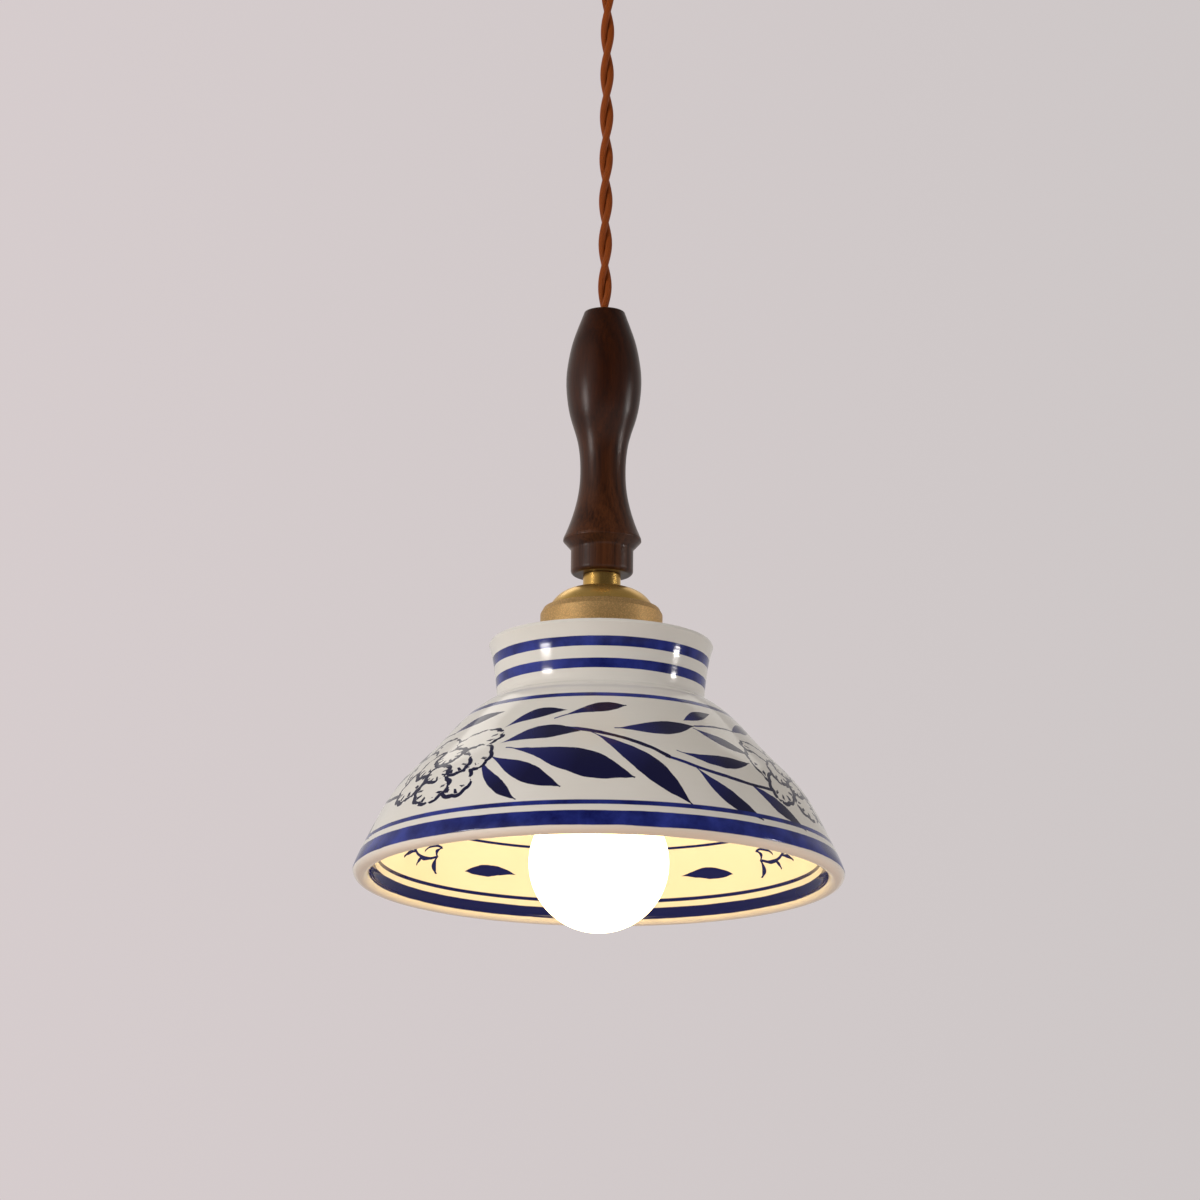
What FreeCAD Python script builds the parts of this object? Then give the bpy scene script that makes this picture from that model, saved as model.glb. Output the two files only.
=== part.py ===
import FreeCAD, Part
import math
import os

from FreeCAD import Vector

# A pendant light: a turned wooden handle, a brass cap and a ceramic bowl shade hang on a twisted cord.
# Millimetres. The origin is the centre of the ceiling fitting's upper face, and +Z is up.

# Fits between pieces, and the overrun of cuts
running_gap = 0.1
loose_gap = 0.3
seat_gap = 0.05
overrun = 1.0

# Canopy, a shallow cup against the ceiling
canopy_radius = 52.0
canopy_height = 26.5
canopy_wall = 1.2
canopy_corner = 8.0

# Bracket inside the canopy
bracket_thickness = 2.0
bracket_width = 16.0
bracket_ear_drop = 15.0
bracket_ear_gap = 1.0
bracket_bend = 1.5
slot_spacing = 50.0
slot_length = 14.0
slot_width = 5.0
tongue_width = 18.0
tongue_reach = 28.0

# Side screws of the canopy
side_screw_radius = 2.0
side_screw_depth = 9.0
side_screw_length = 9.0
side_hole_gap = 0.2
side_head_radius = 5.0
side_head_length = 6.0
side_head_round = 1.2
side_head_flutes = 20
side_head_flute_radius = 0.45

# Cord gland in the canopy's floor, with the ball-shaped bush that it holds
gland_drop = 12.0
gland_radius = 9.5
gland_skirt_radius = 8.4
gland_flange = 1.6
gland_round = 1.5
gland_spigot_radius = 5.0
gland_spigot_length = 9.0
gland_pivot_rise = 5.0
gland_seat_reach = 4.0
gland_chamber_height = 6.0
ball_radius = 7.0
ball_half_height = 3.6
ball_waist_radius = 3.3
ball_mouth_radius = 4.8
gland_nut_flats = 14.0
gland_nut_height = 3.0
gland_washer_radius = 9.0
gland_washer_thickness = 1.0
nut_chamfer = 0.6

# Cord, its cores, and the stops clamped on it
cord_radius = 3.0
cord_free_length = 150.5
cord_in_handle = 26.0
core_end = 2.0
core_radius = 1.1
core_spacing = 2.6
core_bend = 1.8
cord_stop_radius = 5.5
cord_stop_height = 6.0
stop_screw_radius = 1.5
stop_screw_proud = 1.2
collar_radius = 5.4
collar_height = 7.0
collar_round = 0.6

# Terminal block under the bracket's tongue, and the screws around it
block_length = 22.0
block_depth = 14.0
block_height = 11.0
block_start = 13.5
block_corner = 1.5
block_port_radius = 1.4
terminal_pitch = 11.0
terminal_row_spacing = 7.0
terminal_screw_radius = 1.6
terminal_screw_length = 5.0
screw_slot_width = 0.6
screw_slot_depth = 0.7
block_screw_radius = 1.4
block_screw_head_radius = 2.6
block_screw_head_height = 1.5
earth_screw_radius = 2.0
earth_screw_place = 12.0
earth_head_radius = 3.8
earth_head_height = 2.4

# Turned wooden handle
handle_length = 118.6
handle_radius = 16.3
handle_top_radius = 9.0
handle_top_round = 1.2
handle_cord_bore = 3.6
handle_wide_bore = 6.0
handle_flare_radius = 16.85
handle_bead_radius = 16.95
handle_bead_height = 1.0
handle_bead_round = 0.4
handle_cove_height = 3.8
handle_cove_round = 1.6
handle_foot_height = 11.3
handle_foot_radius = 13.5
handle_foot_round = 1.9
# down from the handle's top to its flare, and out along handle_radius
handle_curve_shares = (
    (0.030, 0.603),
    (0.080, 0.720),
    (0.140, 0.845),
    (0.210, 0.942),
    (0.280, 0.998),
    (0.340, 1.000),
    (0.400, 0.964),
    (0.470, 0.879),
    (0.530, 0.761),
    (0.580, 0.677),
    (0.640, 0.622),
    (0.700, 0.605),
    (0.770, 0.623),
    (0.850, 0.708),
    (0.930, 0.857),
)
insert_radius = 7.5
insert_length = 15.0

# Threaded tube, neck collar, dome and band
tube_radius = 5.0
tube_bore = 3.6
tube_length = 51.4
tube_in_handle = 16.0
neck_radius = 8.15
neck_length = 6.5
neck_round = 0.3
dome_height = 8.8
dome_radius = 22.8
dome_flat_radius = 8.8
dome_wall = 1.2
dome_middle_radius = 19.4
dome_middle_drop = 3.8
dome_nut_flats = 15.0
dome_nut_height = 4.0
dome_washer_radius = 8.0
dome_washer_thickness = 1.0
band_radius = 26.4
band_height = 28.1
band_wall = 1.6
band_shoulder_drop = 2.6
band_shoulder_width = 1.4
band_shoulder_round = 0.9
band_flange = 1.2
band_flange_width = 3.0
gasket_inner_radius = 21.2
gasket_thickness = 1.5

# Ceramic shade, a bowl worn upside down, whose foot ring is on top
shade_radius = 105.2
shade_height = 104.5
shade_wall = 4.8
lip_thickness = 7.4
base_hole_gap = 0.8
base_thickness = 10.5
foot_depth = 14.5
foot_radius = 48.3
foot_lip_height = 1.6
foot_neck_radius = 44.6
foot_height = 26.1
foot_wall = 4.9
ceiling_inset = 7.6
foot_round = 1.5
foot_floor_round = 2.5
foot_fillet = 3.0
# up the foot ring, and out from its neck to its lip
foot_curve_shares = (
    (0.16, 0.05),
    (0.42, 0.24),
    (0.72, 0.57),
)
# out along shade_radius, and up along shade_height
bowl_curve_shares = (
    (0.4696, 0.7273),
    (0.5456, 0.6689),
    (0.6768, 0.5255),
    (0.8327, 0.3570),
    (0.9411, 0.1646),
    (0.9830, 0.0785),
)

# Lampholder, and the ring that holds the shade on it
holder_radius = 19.8
holder_wall = 2.2
holder_rise = 6.0
holder_lip_height = 2.0
holder_mouth_cover = 2.1
holder_mouth_gap = 0.8
holder_cap_height = 10.0
holder_cap_wall = 2.0
holder_cap_round = 5.0
holder_neck_radius = 7.4
holder_neck_height = 6.0
core_inset = 9.0
core_disc_height = 14.0
shell_wall = 0.5
shell_rib_count = 5
contact_width = 5.0
contact_thickness = 0.6
contact_length = 11.0
contact_offset = 9.5
holder_terminal_length = 7.0
holder_terminal_width = 5.0
holder_terminal_height = 5.0
holder_screw_radius = 1.5
holder_screw_length = 6.0
lead_turn_drop = 2.5
ring_radius = 26.5
ring_height = 5.0
ring_round = 0.8
ring_flutes = 28
ring_flute_radius = 1.1
fibre_thickness = 1.0
fibre_radius = 26.0

# Globe bulb with its screw cap
globe_radius = 30.0
globe_wall = 1.0
globe_shoulder_angle = 50.0
bulb_length = 94.0
bulb_neck_radius = 12.9
bulb_neck_round = 9.0
bulb_skirt_length = 3.4
bulb_cap_wall = 0.5
thread_gap = 0.3
thread_radius = 13.0
thread_root = 12.3
thread_pitch = 3.6
thread_rib_count = 4
insulator_height = 4.4
insulator_radius = 9.5
insulator_top_radius = 5.6
tip_radius = 4.6
tip_height = 1.6
driver_radius = 10.5
driver_length = 20.0
led_board_radius = 11.2
led_board_thickness = 1.6
led_chip_side = 2.8
led_chip_thickness = 0.7
led_chip_ring = 7.4
led_chip_count = 8

# Heights that follow from the stack, from the ceiling down
canopy_floor = -canopy_height
gland_mouth = canopy_floor - gland_drop
pivot_height = gland_mouth + gland_pivot_rise
gland_top = canopy_floor + gland_spigot_length
handle_top = gland_mouth - cord_free_length
handle_bottom = handle_top - handle_length
handle_cove = handle_bottom + handle_foot_height
handle_bead = handle_cove + handle_cove_height
handle_flare = handle_bead + handle_bead_height
ledge_height = handle_top - cord_in_handle
cord_end = ledge_height - collar_height
dome_top = handle_bottom - neck_length
band_top = dome_top - dome_height
band_bottom = band_top - band_height
base_top = band_bottom - gasket_thickness
base_bottom = base_top - base_thickness
foot_top = base_top + foot_depth
rim_bottom = foot_top - shade_height
tube_top = handle_bottom + tube_in_handle
tube_bottom = tube_top - tube_length
holder_top = base_top + holder_rise
core_top = holder_top - core_inset
core_bottom = core_top - core_disc_height
bulb_top = core_bottom - contact_thickness - loose_gap
bulb_bottom = bulb_top - bulb_length
globe_centre = bulb_bottom + globe_radius
insulator_bottom = bulb_top - tip_height - insulator_height
cap_bottom = insulator_bottom - thread_rib_count * thread_pitch - bulb_skirt_length
holder_mouth = cap_bottom - holder_mouth_cover
ring_top = base_bottom - fibre_thickness
block_top = -bracket_thickness
port_height = block_top - block_height / 2
canopy_inner_floor = canopy_floor + canopy_wall
washer_top = canopy_inner_floor + gland_washer_thickness
stop_top = gland_top + cord_stop_height
tail_top = port_height - core_bend - running_gap
stop_middle = Vector(0, 0, gland_top + cord_stop_height / 2)
holder_inside = holder_radius - holder_wall


# A closed outline in the half plane of radius and height, which is turned about the lamp's axis.
class Outline:
    def __init__(self):
        self.places = []
        self.roundings = []
        self.bends = []

    # The next corner, reached by a straight line or along a bend,
    # which is ("arc", its middle) or ("curve", the places between)
    def to(self, radius, height, rounding=0, bend=None):
        self.places.append(Vector(radius, 0, height))
        self.roundings.append(rounding)
        self.bends.append(bend)
        return self

    # Where a corner's rounding starts, passes and ends
    def rounded(self, number):
        place = self.places[number]
        rounding = self.roundings[number]
        if rounding == 0:
            return place, None, place
        back = (self.places[number - 1] - place).normalize()
        ahead = (self.places[(number + 1) % len(self.places)] - place).normalize()
        half_angle = back.getAngle(ahead) / 2
        reach = rounding / math.tan(half_angle)
        inward = (back + ahead).normalize()
        middle = place + inward * (rounding / math.sin(half_angle) - rounding)
        return place + back * reach, middle, place + ahead * reach

    def edges(self):
        made = []
        corners = [self.rounded(number) for number in range(len(self.places))]
        for number, (first, middle, last) in enumerate(corners):
            if middle is not None:
                made.append(Part.Arc(first, middle, last).toShape())
            following = (number + 1) % len(corners)
            target = corners[following][0]
            bend = self.bends[following]
            if bend is None:
                if last.distanceToPoint(target) > FreeCAD.Base.Precision.confusion():
                    made.append(Part.makeLine(last, target))
            elif bend[0] == "arc":
                made.append(Part.Arc(last, bend[1], target).toShape())
            else:
                spline = Part.BSplineCurve()
                spline.interpolate([last] + bend[1] + [target])
                made.append(spline.toShape())
        return made

    def turned(self):
        face = Part.Face(Part.Wire(self.edges()))
        return face.revolve(Vector(0, 0, 0), Vector(0, 0, 1), 360)


def place_on(radius, height):
    return Vector(radius, 0, height)


def ring(inner, outer, bottom, top, rounding=0):
    outline = Outline()
    outline.to(inner, bottom)
    outline.to(outer, bottom, rounding)
    outline.to(outer, top, rounding)
    outline.to(inner, top)
    return outline.turned()


# Whether an edge is the full circle of a radius at a height
def is_circle(edge, radius, height):
    box = edge.BoundBox
    level = box.ZLength < seat_gap and abs(box.ZMin - height) < seat_gap
    return level and abs(box.XMax - radius) < seat_gap


def rod(radius, bottom, top, x=0, y=0):
    return Part.makeCylinder(radius, top - bottom, Vector(x, y, bottom))


def block(x_low, x_high, y_low, y_high, bottom, top):
    return Part.makeBox(x_high - x_low, y_high - y_low, top - bottom, Vector(x_low, y_low, bottom))


# A six-sided nut about the axis, with its corners chamfered above and below
def hexagon(flats, bottom, top, bore):
    corner_radius = flats / math.sqrt(3)
    corners = []
    for side in range(7):
        angle = math.radians(60 * side)
        corners.append(Vector(corner_radius * math.cos(angle), corner_radius * math.sin(angle), bottom))
    body = Part.Face(Part.makePolygon(corners)).extrude(Vector(0, 0, top - bottom))
    limit = Outline()
    limit.to(bore, bottom)
    limit.to(corner_radius - nut_chamfer, bottom)
    limit.to(corner_radius, bottom + nut_chamfer)
    limit.to(corner_radius, top - nut_chamfer)
    limit.to(corner_radius - nut_chamfer, top)
    limit.to(bore, top)
    return body.common(limit.turned())


# A round tube along straight runs that are joined by arcs of one radius
def routed(points, bend, radius):
    edges = []
    start = points[0]
    for number in range(1, len(points) - 1):
        corner = points[number]
        back = (points[number - 1] - corner).normalize()
        ahead = (points[number + 1] - corner).normalize()
        half_angle = back.getAngle(ahead) / 2
        reach = bend / math.tan(half_angle)
        inward = (back + ahead).normalize()
        middle = corner + inward * (bend / math.sin(half_angle) - bend)
        edges.append(Part.makeLine(start, corner + back * reach))
        edges.append(Part.Arc(corner + back * reach, middle, corner + ahead * reach).toShape())
        start = corner + ahead * reach
    edges.append(Part.makeLine(start, points[-1]))
    route = Part.Wire(edges)
    section = Part.Wire(Part.makeCircle(radius, points[0], points[1] - points[0]))
    return route.makePipeShell([section], True, False)


# Canopy and bracket


def ceiling_bracket():
    half = canopy_radius - canopy_wall - bracket_ear_gap
    ear_bottom = -bracket_ear_drop
    outline = [(-half, 0), (half, 0), (half, ear_bottom), (half - bracket_thickness, ear_bottom)]
    outline += [(half - bracket_thickness, block_top), (bracket_thickness - half, block_top)]
    outline += [(bracket_thickness - half, ear_bottom), (-half, ear_bottom), (-half, 0)]
    side = -bracket_width / 2
    wire = Part.makePolygon([Vector(x, side, z) for x, z in outline])
    strap = Part.Face(wire).extrude(Vector(0, bracket_width, 0))
    bends = []
    for edge in strap.Edges:
        middle = edge.CenterOfMass
        if abs(middle.y) < bracket_width / 4 and abs(middle.x) > half - bracket_thickness * 1.5:
            if middle.z > block_top - bracket_thickness / 2:
                bends.append(edge)
    strap = strap.makeFillet(bracket_bend, bends)
    tongue = block(-tongue_width / 2, tongue_width / 2, 0, tongue_reach, block_top, 0)
    strap = strap.fuse(tongue)
    low = block_top - overrun
    for sign in (-1, 1):
        strap = strap.cut(screw_slot(sign * slot_spacing / 2, low))
    strap = strap.cut(side_bore(side_screw_radius + seat_gap))
    strap = strap.cut(rod(earth_screw_radius + seat_gap, low, overrun, earth_screw_place))
    strap = strap.cut(rod(block_screw_radius + seat_gap, low, overrun, 0, block_start + block_depth / 2))
    return strap.removeSplitter()


# A round-ended slot for a ceiling screw, lengthwise along the bracket
def screw_slot(centre, low):
    straight = (slot_length - slot_width) / 2
    side = slot_width / 2
    slot = block(centre - straight, centre + straight, -side, side, low, overrun)
    for end in (centre - straight, centre + straight):
        slot = slot.fuse(rod(side, low, overrun, end))
    return slot


# A bore across the whole canopy at the height of its side screws
def side_bore(radius):
    half = canopy_radius + overrun
    return Part.makeCylinder(radius, 2 * half, Vector(-half, 0, -side_screw_depth), Vector(1, 0, 0))


def canopy_cup():
    inside = canopy_radius - canopy_wall
    outline = Outline()
    outline.to(gland_spigot_radius + side_hole_gap, canopy_floor)
    outline.to(canopy_radius, canopy_floor, canopy_corner)
    outline.to(canopy_radius, 0)
    outline.to(inside, 0)
    outline.to(inside, canopy_floor + canopy_wall, canopy_corner - canopy_wall)
    outline.to(gland_spigot_radius + side_hole_gap, canopy_floor + canopy_wall)
    return outline.turned().cut(side_bore(side_screw_radius + side_hole_gap))


def canopy_screws():
    head = Outline()
    head.to(0, 0)
    head.to(side_head_radius, 0)
    head.to(side_head_radius, side_head_length, side_head_round)
    head.to(0, side_head_length)
    screw = head.turned()
    for number in range(side_head_flutes):
        angle = 2 * math.pi * number / side_head_flutes
        x = side_head_radius * math.cos(angle)
        y = side_head_radius * math.sin(angle)
        screw = screw.cut(rod(side_head_flute_radius, -overrun, side_head_length + overrun, x, y))
    screw = screw.fuse(rod(side_screw_radius, -side_screw_length, 0))
    screws = []
    for sign in (-1, 1):
        one = screw.copy()
        one.rotate(Vector(0, 0, 0), Vector(0, 1, 0), sign * 90)
        one.translate(Vector(sign * canopy_radius, 0, -side_screw_depth))
        screws.append(one)
    return Part.makeCompound(screws)


# Gland and ball bush


# How far out the ball's seat is at a height from the pivot
def seat_reach(height):
    return math.sqrt((ball_radius + running_gap) ** 2 - height**2)


# The middle of the seat's arc, above the pivot (+1) or below it (-1)
def seat_middle(sign):
    seat = ball_radius + running_gap
    angle = math.asin(gland_seat_reach / seat) / 2
    return place_on(seat * math.cos(angle), pivot_height + sign * seat * math.sin(angle))


def gland_body():
    opening = seat_reach(gland_seat_reach)
    chamber_top = pivot_height + gland_chamber_height
    bore = cord_radius + running_gap
    outline = Outline()
    outline.to(ball_radius + running_gap, pivot_height, 0, ("arc", seat_middle(1)))
    outline.to(gland_skirt_radius, pivot_height)
    outline.to(gland_skirt_radius, canopy_floor - gland_flange)
    outline.to(gland_radius, canopy_floor - gland_flange)
    outline.to(gland_radius, canopy_floor)
    outline.to(gland_spigot_radius, canopy_floor)
    outline.to(gland_spigot_radius, gland_top)
    outline.to(bore, gland_top)
    outline.to(bore, chamber_top)
    outline.to(opening, chamber_top)
    outline.to(opening, pivot_height + gland_seat_reach)
    return outline.turned()


def gland_cap():
    opening = seat_reach(gland_seat_reach)
    flare = pivot_height - gland_seat_reach - gland_mouth
    top = canopy_floor - gland_flange - loose_gap
    outline = Outline()
    outline.to(opening, pivot_height - gland_seat_reach, 0, ("arc", seat_middle(-1)))
    outline.to(opening + flare, gland_mouth)
    outline.to(gland_radius, gland_mouth, gland_round)
    outline.to(gland_radius, top)
    outline.to(gland_skirt_radius + seat_gap, top)
    outline.to(gland_skirt_radius + seat_gap, pivot_height)
    outline.to(ball_radius + running_gap, pivot_height)
    return outline.turned()


def gland_washer():
    return ring(gland_spigot_radius + seat_gap, gland_washer_radius, canopy_inner_floor, washer_top)


def gland_nut():
    bore = gland_spigot_radius + seat_gap
    return hexagon(gland_nut_flats, washer_top, washer_top + gland_nut_height, bore)


def cord_bush():
    edge = math.sqrt(ball_radius**2 - ball_half_height**2)
    low = pivot_height - ball_half_height
    high = pivot_height + ball_half_height
    outline = Outline()
    outline.to(ball_waist_radius, pivot_height)
    outline.to(ball_mouth_radius, low)
    outline.to(edge, low)
    outline.to(edge, high, 0, ("arc", place_on(ball_radius, pivot_height)))
    outline.to(ball_mouth_radius, high)
    return outline.turned()


# Cord


def cord():
    outline = Outline()
    outline.to(0, pivot_height + cord_radius)
    outline.to(0, cord_end)
    outline.to(cord_radius, cord_end)
    outline.to(cord_radius, pivot_height)
    slant = cord_radius * math.sqrt(0.5)
    outline.bends[0] = ("arc", place_on(slant, pivot_height + slant))
    tube = outline.turned()
    straight = math.pi * cord_radius**2 * (pivot_height - cord_end)
    expected = straight + 2 / 3 * math.pi * cord_radius**3
    print("cord volume", round(tube.Volume, 1), "section times length and its dome", round(expected, 1))
    return tube


def cord_collar():
    return ring(cord_radius + seat_gap, collar_radius, cord_end, ledge_height, collar_round)


def cord_tail():
    return rod(cord_radius, pivot_height + gland_chamber_height, tail_top)


def cord_stop():
    stop = ring(cord_radius + seat_gap, cord_stop_radius, gland_top, stop_top)
    bore = stop_screw_radius + seat_gap
    return stop.cut(Part.makeCylinder(bore, cord_stop_radius + overrun, stop_middle, Vector(0, -1, 0)))


def cord_stop_screw():
    start = cord_radius + seat_gap
    length = cord_stop_radius + stop_screw_proud - start
    place = Vector(0, -start, stop_middle.z)
    screw = Part.makeCylinder(stop_screw_radius, length, place, Vector(0, -1, 0))
    far = cord_stop_radius + stop_screw_proud
    low = stop_middle.z - screw_slot_width / 2
    slot = block(-cord_radius, cord_radius, -far, screw_slot_depth - far, low, low + screw_slot_width)
    return screw.cut(slot)


# The two cores from the tail to the terminal block's ports, one on each side
def supply_lead(sign):
    near = sign * core_spacing / 2
    far = sign * terminal_pitch / 2
    turn = block_start / 3
    points = [Vector(near, 0, tail_top), Vector(near, 0, port_height), Vector(near, turn, port_height)]
    points += [Vector(far, 2 * turn, port_height), Vector(far, block_start + core_end, port_height)]
    return routed(points, core_bend, core_radius)


def supply_lead_live():
    return supply_lead(1)


def supply_lead_neutral():
    return supply_lead(-1)


# Terminal block


def terminal_places():
    rows = [block_start + block_depth / 2 + side * terminal_row_spacing / 2 for side in (-1, 1)]
    return [(side * terminal_pitch / 2, row) for side in (-1, 1) for row in rows]


def terminal_block():
    bottom = block_top - block_height
    end = block_start + block_depth
    body = block(-block_length / 2, block_length / 2, block_start, end, bottom, block_top)
    upright = [edge for edge in body.Edges if abs(edge.tangentAt(edge.FirstParameter).z) > 0.5]
    body = body.makeFillet(block_corner, upright)
    through = block_depth + 2 * overrun
    for side in (-1, 1):
        place = Vector(side * terminal_pitch / 2, block_start - overrun, port_height)
        body = body.cut(Part.makeCylinder(block_port_radius, through, place, Vector(0, 1, 0)))
    for x, y in terminal_places():
        body = body.cut(rod(terminal_screw_radius + seat_gap, bottom - overrun, port_height, x, y))
    middle = block_start + block_depth / 2
    body = body.cut(rod(block_screw_radius + seat_gap, bottom - overrun, block_top + overrun, 0, middle))
    head_room = block_screw_head_height + screw_slot_depth
    head_bore = block_screw_head_radius + seat_gap
    return body.cut(rod(head_bore, bottom - overrun, bottom + head_room, 0, middle))


# A screw's slotted end, facing down, as the cut to take out of it
def slot_cut(radius, height, x, y):
    half = screw_slot_width / 2
    reach = radius + overrun
    return block(x - reach, x + reach, y - half, y + half, height - overrun, height + screw_slot_depth)


def terminal_screws():
    top = port_height - core_radius
    screws = []
    for x, y in terminal_places():
        screw = rod(terminal_screw_radius, top - terminal_screw_length, top, x, y)
        screws.append(screw.cut(slot_cut(terminal_screw_radius, top - terminal_screw_length, x, y)))
    return Part.makeCompound(screws)


def block_screw():
    middle = block_start + block_depth / 2
    head_bottom = block_top - block_height + screw_slot_depth
    head_top = head_bottom + block_screw_head_height
    screw = rod(block_screw_head_radius, head_bottom, head_top, 0, middle)
    screw = screw.fuse(rod(block_screw_radius, head_top, 0, 0, middle))
    return screw.cut(slot_cut(block_screw_head_radius, head_bottom, 0, middle))


def earth_screw():
    head_bottom = block_top - earth_head_height
    screw = rod(earth_head_radius, head_bottom, block_top, earth_screw_place)
    screw = screw.fuse(rod(earth_screw_radius, block_top, 0, earth_screw_place))
    return screw.cut(slot_cut(earth_head_radius, head_bottom, earth_screw_place, 0))


# Handle and what it holds


def wood_handle():
    curve = []
    for along, out in handle_curve_shares:
        curve.append(place_on(out * handle_radius, handle_top - along * (handle_top - handle_flare)))
    outline = Outline()
    outline.to(handle_cord_bore, handle_top)
    outline.to(handle_top_radius, handle_top, handle_top_round)
    outline.to(handle_flare_radius, handle_flare, 0, ("curve", curve))
    outline.to(handle_bead_radius, handle_bead, handle_bead_round)
    outline.to(handle_foot_radius, handle_cove, handle_cove_round)
    outline.to(handle_foot_radius, handle_bottom, handle_foot_round)
    outline.to(insert_radius + seat_gap, handle_bottom)
    outline.to(insert_radius + seat_gap, handle_bottom + insert_length)
    outline.to(handle_wide_bore, handle_bottom + insert_length)
    outline.to(handle_wide_bore, ledge_height)
    outline.to(handle_cord_bore, ledge_height)
    return outline.turned()


def handle_insert():
    return ring(tube_radius + seat_gap, insert_radius, handle_bottom, handle_bottom + insert_length)


def threaded_tube():
    return ring(tube_bore, tube_radius, tube_bottom, tube_top)


# The two cores from under the collar, down the tube and out to the lampholder's terminals
def lamp_lead(sign):
    near = sign * core_spacing / 2
    far = sign * contact_offset
    turn = tube_bottom - lead_turn_drop
    points = [Vector(near, 0, cord_end - loose_gap), Vector(near, 0, turn)]
    points += [Vector(far, 0, turn), Vector(far, 0, core_top + holder_terminal_height)]
    return routed(points, core_bend, core_radius)


def lamp_lead_live():
    return lamp_lead(1)


def lamp_lead_neutral():
    return lamp_lead(-1)


# Brass between handle and shade


def neck_collar():
    return ring(tube_radius + seat_gap, neck_radius, dome_top, handle_bottom, neck_round)


def cap_dome():
    middle_height = dome_top - dome_middle_drop
    outline = Outline()
    outline.to(tube_radius + seat_gap, dome_top)
    outline.to(dome_flat_radius, dome_top)
    outline.to(dome_radius, band_top, 0, ("arc", place_on(dome_middle_radius, middle_height)))
    outline.to(dome_radius - dome_wall, band_top)
    inner_middle = place_on(dome_middle_radius - dome_wall / 2, middle_height - dome_wall)
    outline.to(dome_flat_radius, dome_top - dome_wall, 0, ("arc", inner_middle))
    outline.to(tube_radius + seat_gap, dome_top - dome_wall)
    return outline.turned()


def dome_washer():
    top = dome_top - dome_wall
    return ring(tube_radius + seat_gap, dome_washer_radius, top - dome_washer_thickness, top)


def dome_nut():
    top = dome_top - dome_wall - dome_washer_thickness
    return hexagon(dome_nut_flats, top - dome_nut_height, top, tube_radius + seat_gap)


def cap_band():
    inside = band_radius - band_wall
    outline = Outline()
    outline.to(inside - band_flange_width, band_bottom)
    outline.to(band_radius, band_bottom, band_shoulder_round / 2)
    outline.to(band_radius, band_top - band_shoulder_drop, band_shoulder_round)
    outline.to(band_radius - band_shoulder_width, band_top, band_shoulder_round / 2)
    outline.to(dome_radius - band_flange_width, band_top)
    outline.to(dome_radius - band_flange_width, band_top - band_flange)
    outline.to(inside, band_top - band_flange)
    outline.to(inside, band_bottom + band_flange)
    outline.to(inside - band_flange_width, band_bottom + band_flange)
    return outline.turned()


def band_gasket():
    return ring(gasket_inner_radius, band_radius, base_top, band_bottom)


# Ceramic shade


# The outer wall's places from the foot ring's neck to the lip
def bowl_places():
    return [place_on(out * shade_radius, rim_bottom + up * shade_height) for out, up in bowl_curve_shares]


# The inner wall's places: the outer ones, moved in square to the wall by its thickness
def bowl_inner_places():
    outer = bowl_places()
    inner = []
    for number in range(len(outer)):
        before = outer[max(number - 1, 0)]
        after = outer[min(number + 1, len(outer) - 1)]
        along = (after - before).normalize()
        share = number / (len(outer) - 1)
        thickness = shade_wall + (lip_thickness - shade_wall) * share**4
        inner.append(outer[number] + Vector(along.z, 0, -along.x) * thickness)
    return inner


def ceramic_shade():
    lip_round = lip_thickness / 2
    lip_height = rim_bottom + lip_round
    neck_height = foot_top - foot_height
    outer = bowl_places()
    inner = bowl_inner_places()
    foot = []
    for up, out in foot_curve_shares:
        radius = foot_neck_radius + out * (foot_radius - foot_neck_radius)
        foot.append(place_on(radius, neck_height + up * foot_height))
    hole = holder_radius + base_hole_gap
    foot_inside = foot_neck_radius - foot_wall / 2
    outline = Outline()
    outline.to(hole, base_bottom)
    outline.to(hole, base_top)
    outline.to(foot_inside, base_top, foot_floor_round)
    outline.to(foot_radius - foot_wall, foot_top, foot_round)
    outline.to(foot_radius - foot_lip_height / 2, foot_top, foot_lip_height / 2)
    outline.to(foot_radius, foot_top - foot_lip_height)
    outline.to(foot_neck_radius, neck_height, 0, ("curve", foot[::-1]))
    outline.to(shade_radius, lip_height, 0, ("curve", outer))
    inner_lip = place_on(shade_radius - lip_thickness, lip_height)
    outline.to(inner_lip.x, lip_height, 0, ("arc", place_on(shade_radius - lip_round, rim_bottom)))
    ceiling_edge = foot_neck_radius - ceiling_inset
    outline.to(ceiling_edge, base_bottom, 0, ("curve", inner[::-1]))
    shade = outline.turned()
    neck = [edge for edge in shade.Edges if is_circle(edge, foot_neck_radius, neck_height)]
    return shade.makeFillet(foot_fillet, neck)


def fibre_washer():
    return ring(holder_radius + base_hole_gap, fibre_radius, ring_top, base_bottom)


def shade_ring():
    bottom = ring_top - ring_height
    body = ring(holder_radius + seat_gap, ring_radius, bottom, ring_top, ring_round)
    for number in range(ring_flutes):
        angle = 2 * math.pi * number / ring_flutes
        x = ring_radius * math.cos(angle)
        y = ring_radius * math.sin(angle)
        body = body.cut(rod(ring_flute_radius, bottom - overrun, ring_top + overrun, x, y))
    return body


# Lampholder


def lampholder_cap():
    top = holder_top + holder_cap_height
    inside_top = top - holder_cap_wall
    bore = tube_radius + seat_gap
    outline = Outline()
    outline.to(holder_inside, holder_top)
    outline.to(holder_radius, holder_top)
    outline.to(holder_radius, top, holder_cap_round)
    outline.to(holder_neck_radius, top)
    outline.to(holder_neck_radius, top + holder_neck_height)
    outline.to(bore, top + holder_neck_height)
    outline.to(bore, inside_top)
    outline.to(holder_inside, inside_top, holder_cap_round - holder_cap_wall)
    return outline.turned()


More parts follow.
